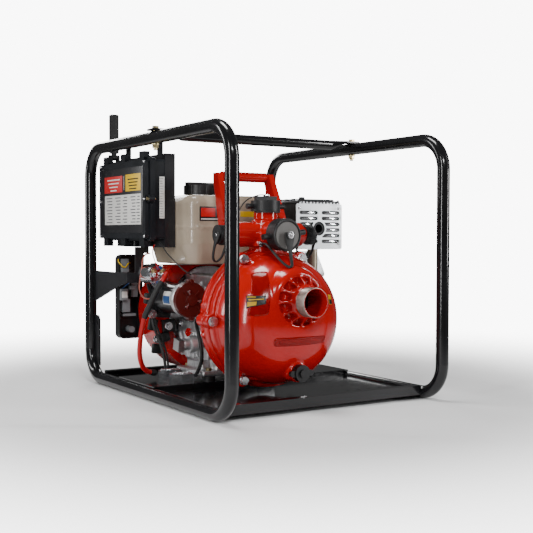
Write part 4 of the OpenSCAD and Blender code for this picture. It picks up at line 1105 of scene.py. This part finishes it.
clampZ = 29.9 - 174.9 + 9
scatter("clampJaws", jaw, [(at(-122, 86, clampZ), (0, 0, 1), -20, 1),
                           (at(-126, 22, clampZ), (0, 0, 1), -20, 1)], boltSteel)

# welds where the bracket and the tie-down plate meet the rear leg, and round the bottom tube
legX, legY, tubeRadius = -253.55, 333.2, 13.3
for k, (low, high) in enumerate(((236, 318), (44, 154))):
    weldBead("legWeld%d" % k, [mm(legX - 2 + 0.4 * j, legY - 13.4, low + (high - low) * j / 6)
                               for j in range(7)], 0.0022)
ringPoints = [mm(legX + tubeRadius * math.cos(a), 26, 13.45 + tubeRadius * math.sin(a))
              for a in [2 * math.pi * k / 24 for k in range(25)]]
weldBead("tubeSeam", [p for p in ringPoints if p.z > 0.0016], 0.0012)

print("stage: muffler")


def ventSlot(bm):
    roundBox(bm, (-0.0022, -0.007, -0.0004), (0.0022, 0.007, 0.0006), 0.0004)


mufflerFace, mufflerTop = -42, 255
topMesh = bmesh.new()
roundBox(topMesh, at(129, -42, 240), at(252, 69, 251), 0.005, segments=4)
roundBox(topMesh, at(139, -32, 246), at(242, 59, 255), 0.004, segments=4)
fromBmesh("mufflerTop", topMesh, mufflerBlack)
ventX = [139 + k * 9.4 for k in range(12)]
vents = [(at(x, mufflerFace, 245.5), (0, -1, 0), 0, (1.2, 0.34, 1)) for x in ventX]
vents += [(at(x, y, mufflerTop), (0, 0, 1), 0, (1, 0.8, 1)) for x in ventX for y in (-14, 14, 40)]
scatter("mufflerVents", ventSlot, vents, guardSteel)
lathe("mufflerKnob", [(0, 6.0), (5.0, 6.0), (6.6, 4.6), (7.0, 2.0), (9.5, 1.0), (9.5, -0.5), (0, -0.5)],
      at(176, 6, mufflerTop), (0, 0, 1), mufflerBlack, 32)
baffleMesh = bmesh.new()
for k in range(6):  # bright edges of the inner louvres, seen through the guard's slots
    for low, high in ((144, 168), (212, 244)) if k in (1, 2, 3) else ((144, 183), (206, 244)):
        roundBox(baffleMesh, at(low, -41.6, 157.2 + k * 13), at(high, -40.3, 160.4 + k * 13), 0.0006)
fromBmesh("mufflerLouvres", baffleMesh, chromeMat)
scatter("guardScrews", panScrew, [(at(x, mufflerFace - 2.2, z), (0, -1, 0), 0, 1.1) for x in (136, 245)
                                  for z in (154, 234)], boltSteel)
scatter("mufflerScrews", panScrew, [(at(x, y, 251.0), (0, 0, 1), 0, 1.0) for x in (134, 247)
                                    for y in (-37, 64)], boltSteel)

print("stage: studio")
floorKit = Kit("floorPaint")
floorX, floorY, floorZ = floorKit.axes()
# the floor fades into the white backdrop
floorAway = (floorX * floorX + floorY * floorY).math("SQRT")
floorPaint = floorKit.done(Base_Color=(0.74, 0.74, 0.74), Roughness=floorKit.noise(3) * 0.05 + 0.65,
                           Alpha=floorAway.ramp(0.55, 1.7, 1.0, 0.0))
floorMesh = bpy.data.meshes.new("floor")
floorMesh.from_pydata([(-2, -2, 0), (2, -2, 0), (2, 2, 0), (-2, 2, 0)], [], [(0, 1, 2, 3)])
floorMesh.materials.append(floorPaint)
addObject("floor", floorMesh)


def softLight(name, place, target, size, power):
    data = bpy.data.lights.new(name, "AREA")
    data.shape = "RECTANGLE"
    data.size, data.size_y = size
    data.energy = power
    lamp = addObject(name, data)
    lamp.location = place
    lamp.rotation_euler = (Vector(target) - Vector(place)).to_track_quat("-Z", "Y").to_euler()


lights = {  # place, target, size and power
    "leftStrip": ((-1.7, -0.9, 0.75), (0, 0, 0.3), (0.14, 1.5), 24),
    "rightStrip": ((1.5, -1.5, 0.9), (0, 0, 0.25), (0.16, 1.4), 34),
    "topBank": ((-0.3, 0.0, 2.0), (0, 0, 0.2), (0.8, 0.4), 26),
    "frontSoft": ((-0.9, -2.3, 1.6), (0, -0.1, 0.2), (0.36, 0.28), 27),
    "backRim": ((0.4, 1.8, 1.2), (0, 0, 0.3), (1.4, 0.3), 18),
    "leftRim": ((-1.6, 1.1, 0.9), (-0.1, 0, 0.3), (0.2, 1.3), 14),
}
for lightName, (place, target, size, power) in lights.items():
    softLight(lightName, place, target, size, power)
world = bpy.data.worlds.new("studio")
bpy.context.scene.world = world
world.use_nodes = True
worldTree = world.node_tree
backdrop = worldTree.nodes["Background"]
rays = worldTree.nodes.new("ShaderNodeLightPath")
level = worldTree.nodes.new("ShaderNodeMapRange")
level.inputs["To Min"].default_value = 0.10  # dim where it lights and reflects
level.inputs["To Max"].default_value = 9.0  # bright where it is seen
worldTree.links.new(rays.outputs["Is Camera Ray"], level.inputs["Value"])
worldTree.links.new(level.outputs["Result"], backdrop.inputs["Strength"])
backdrop.inputs["Color"].default_value = (1.0, 1.0, 1.0, 1.0)
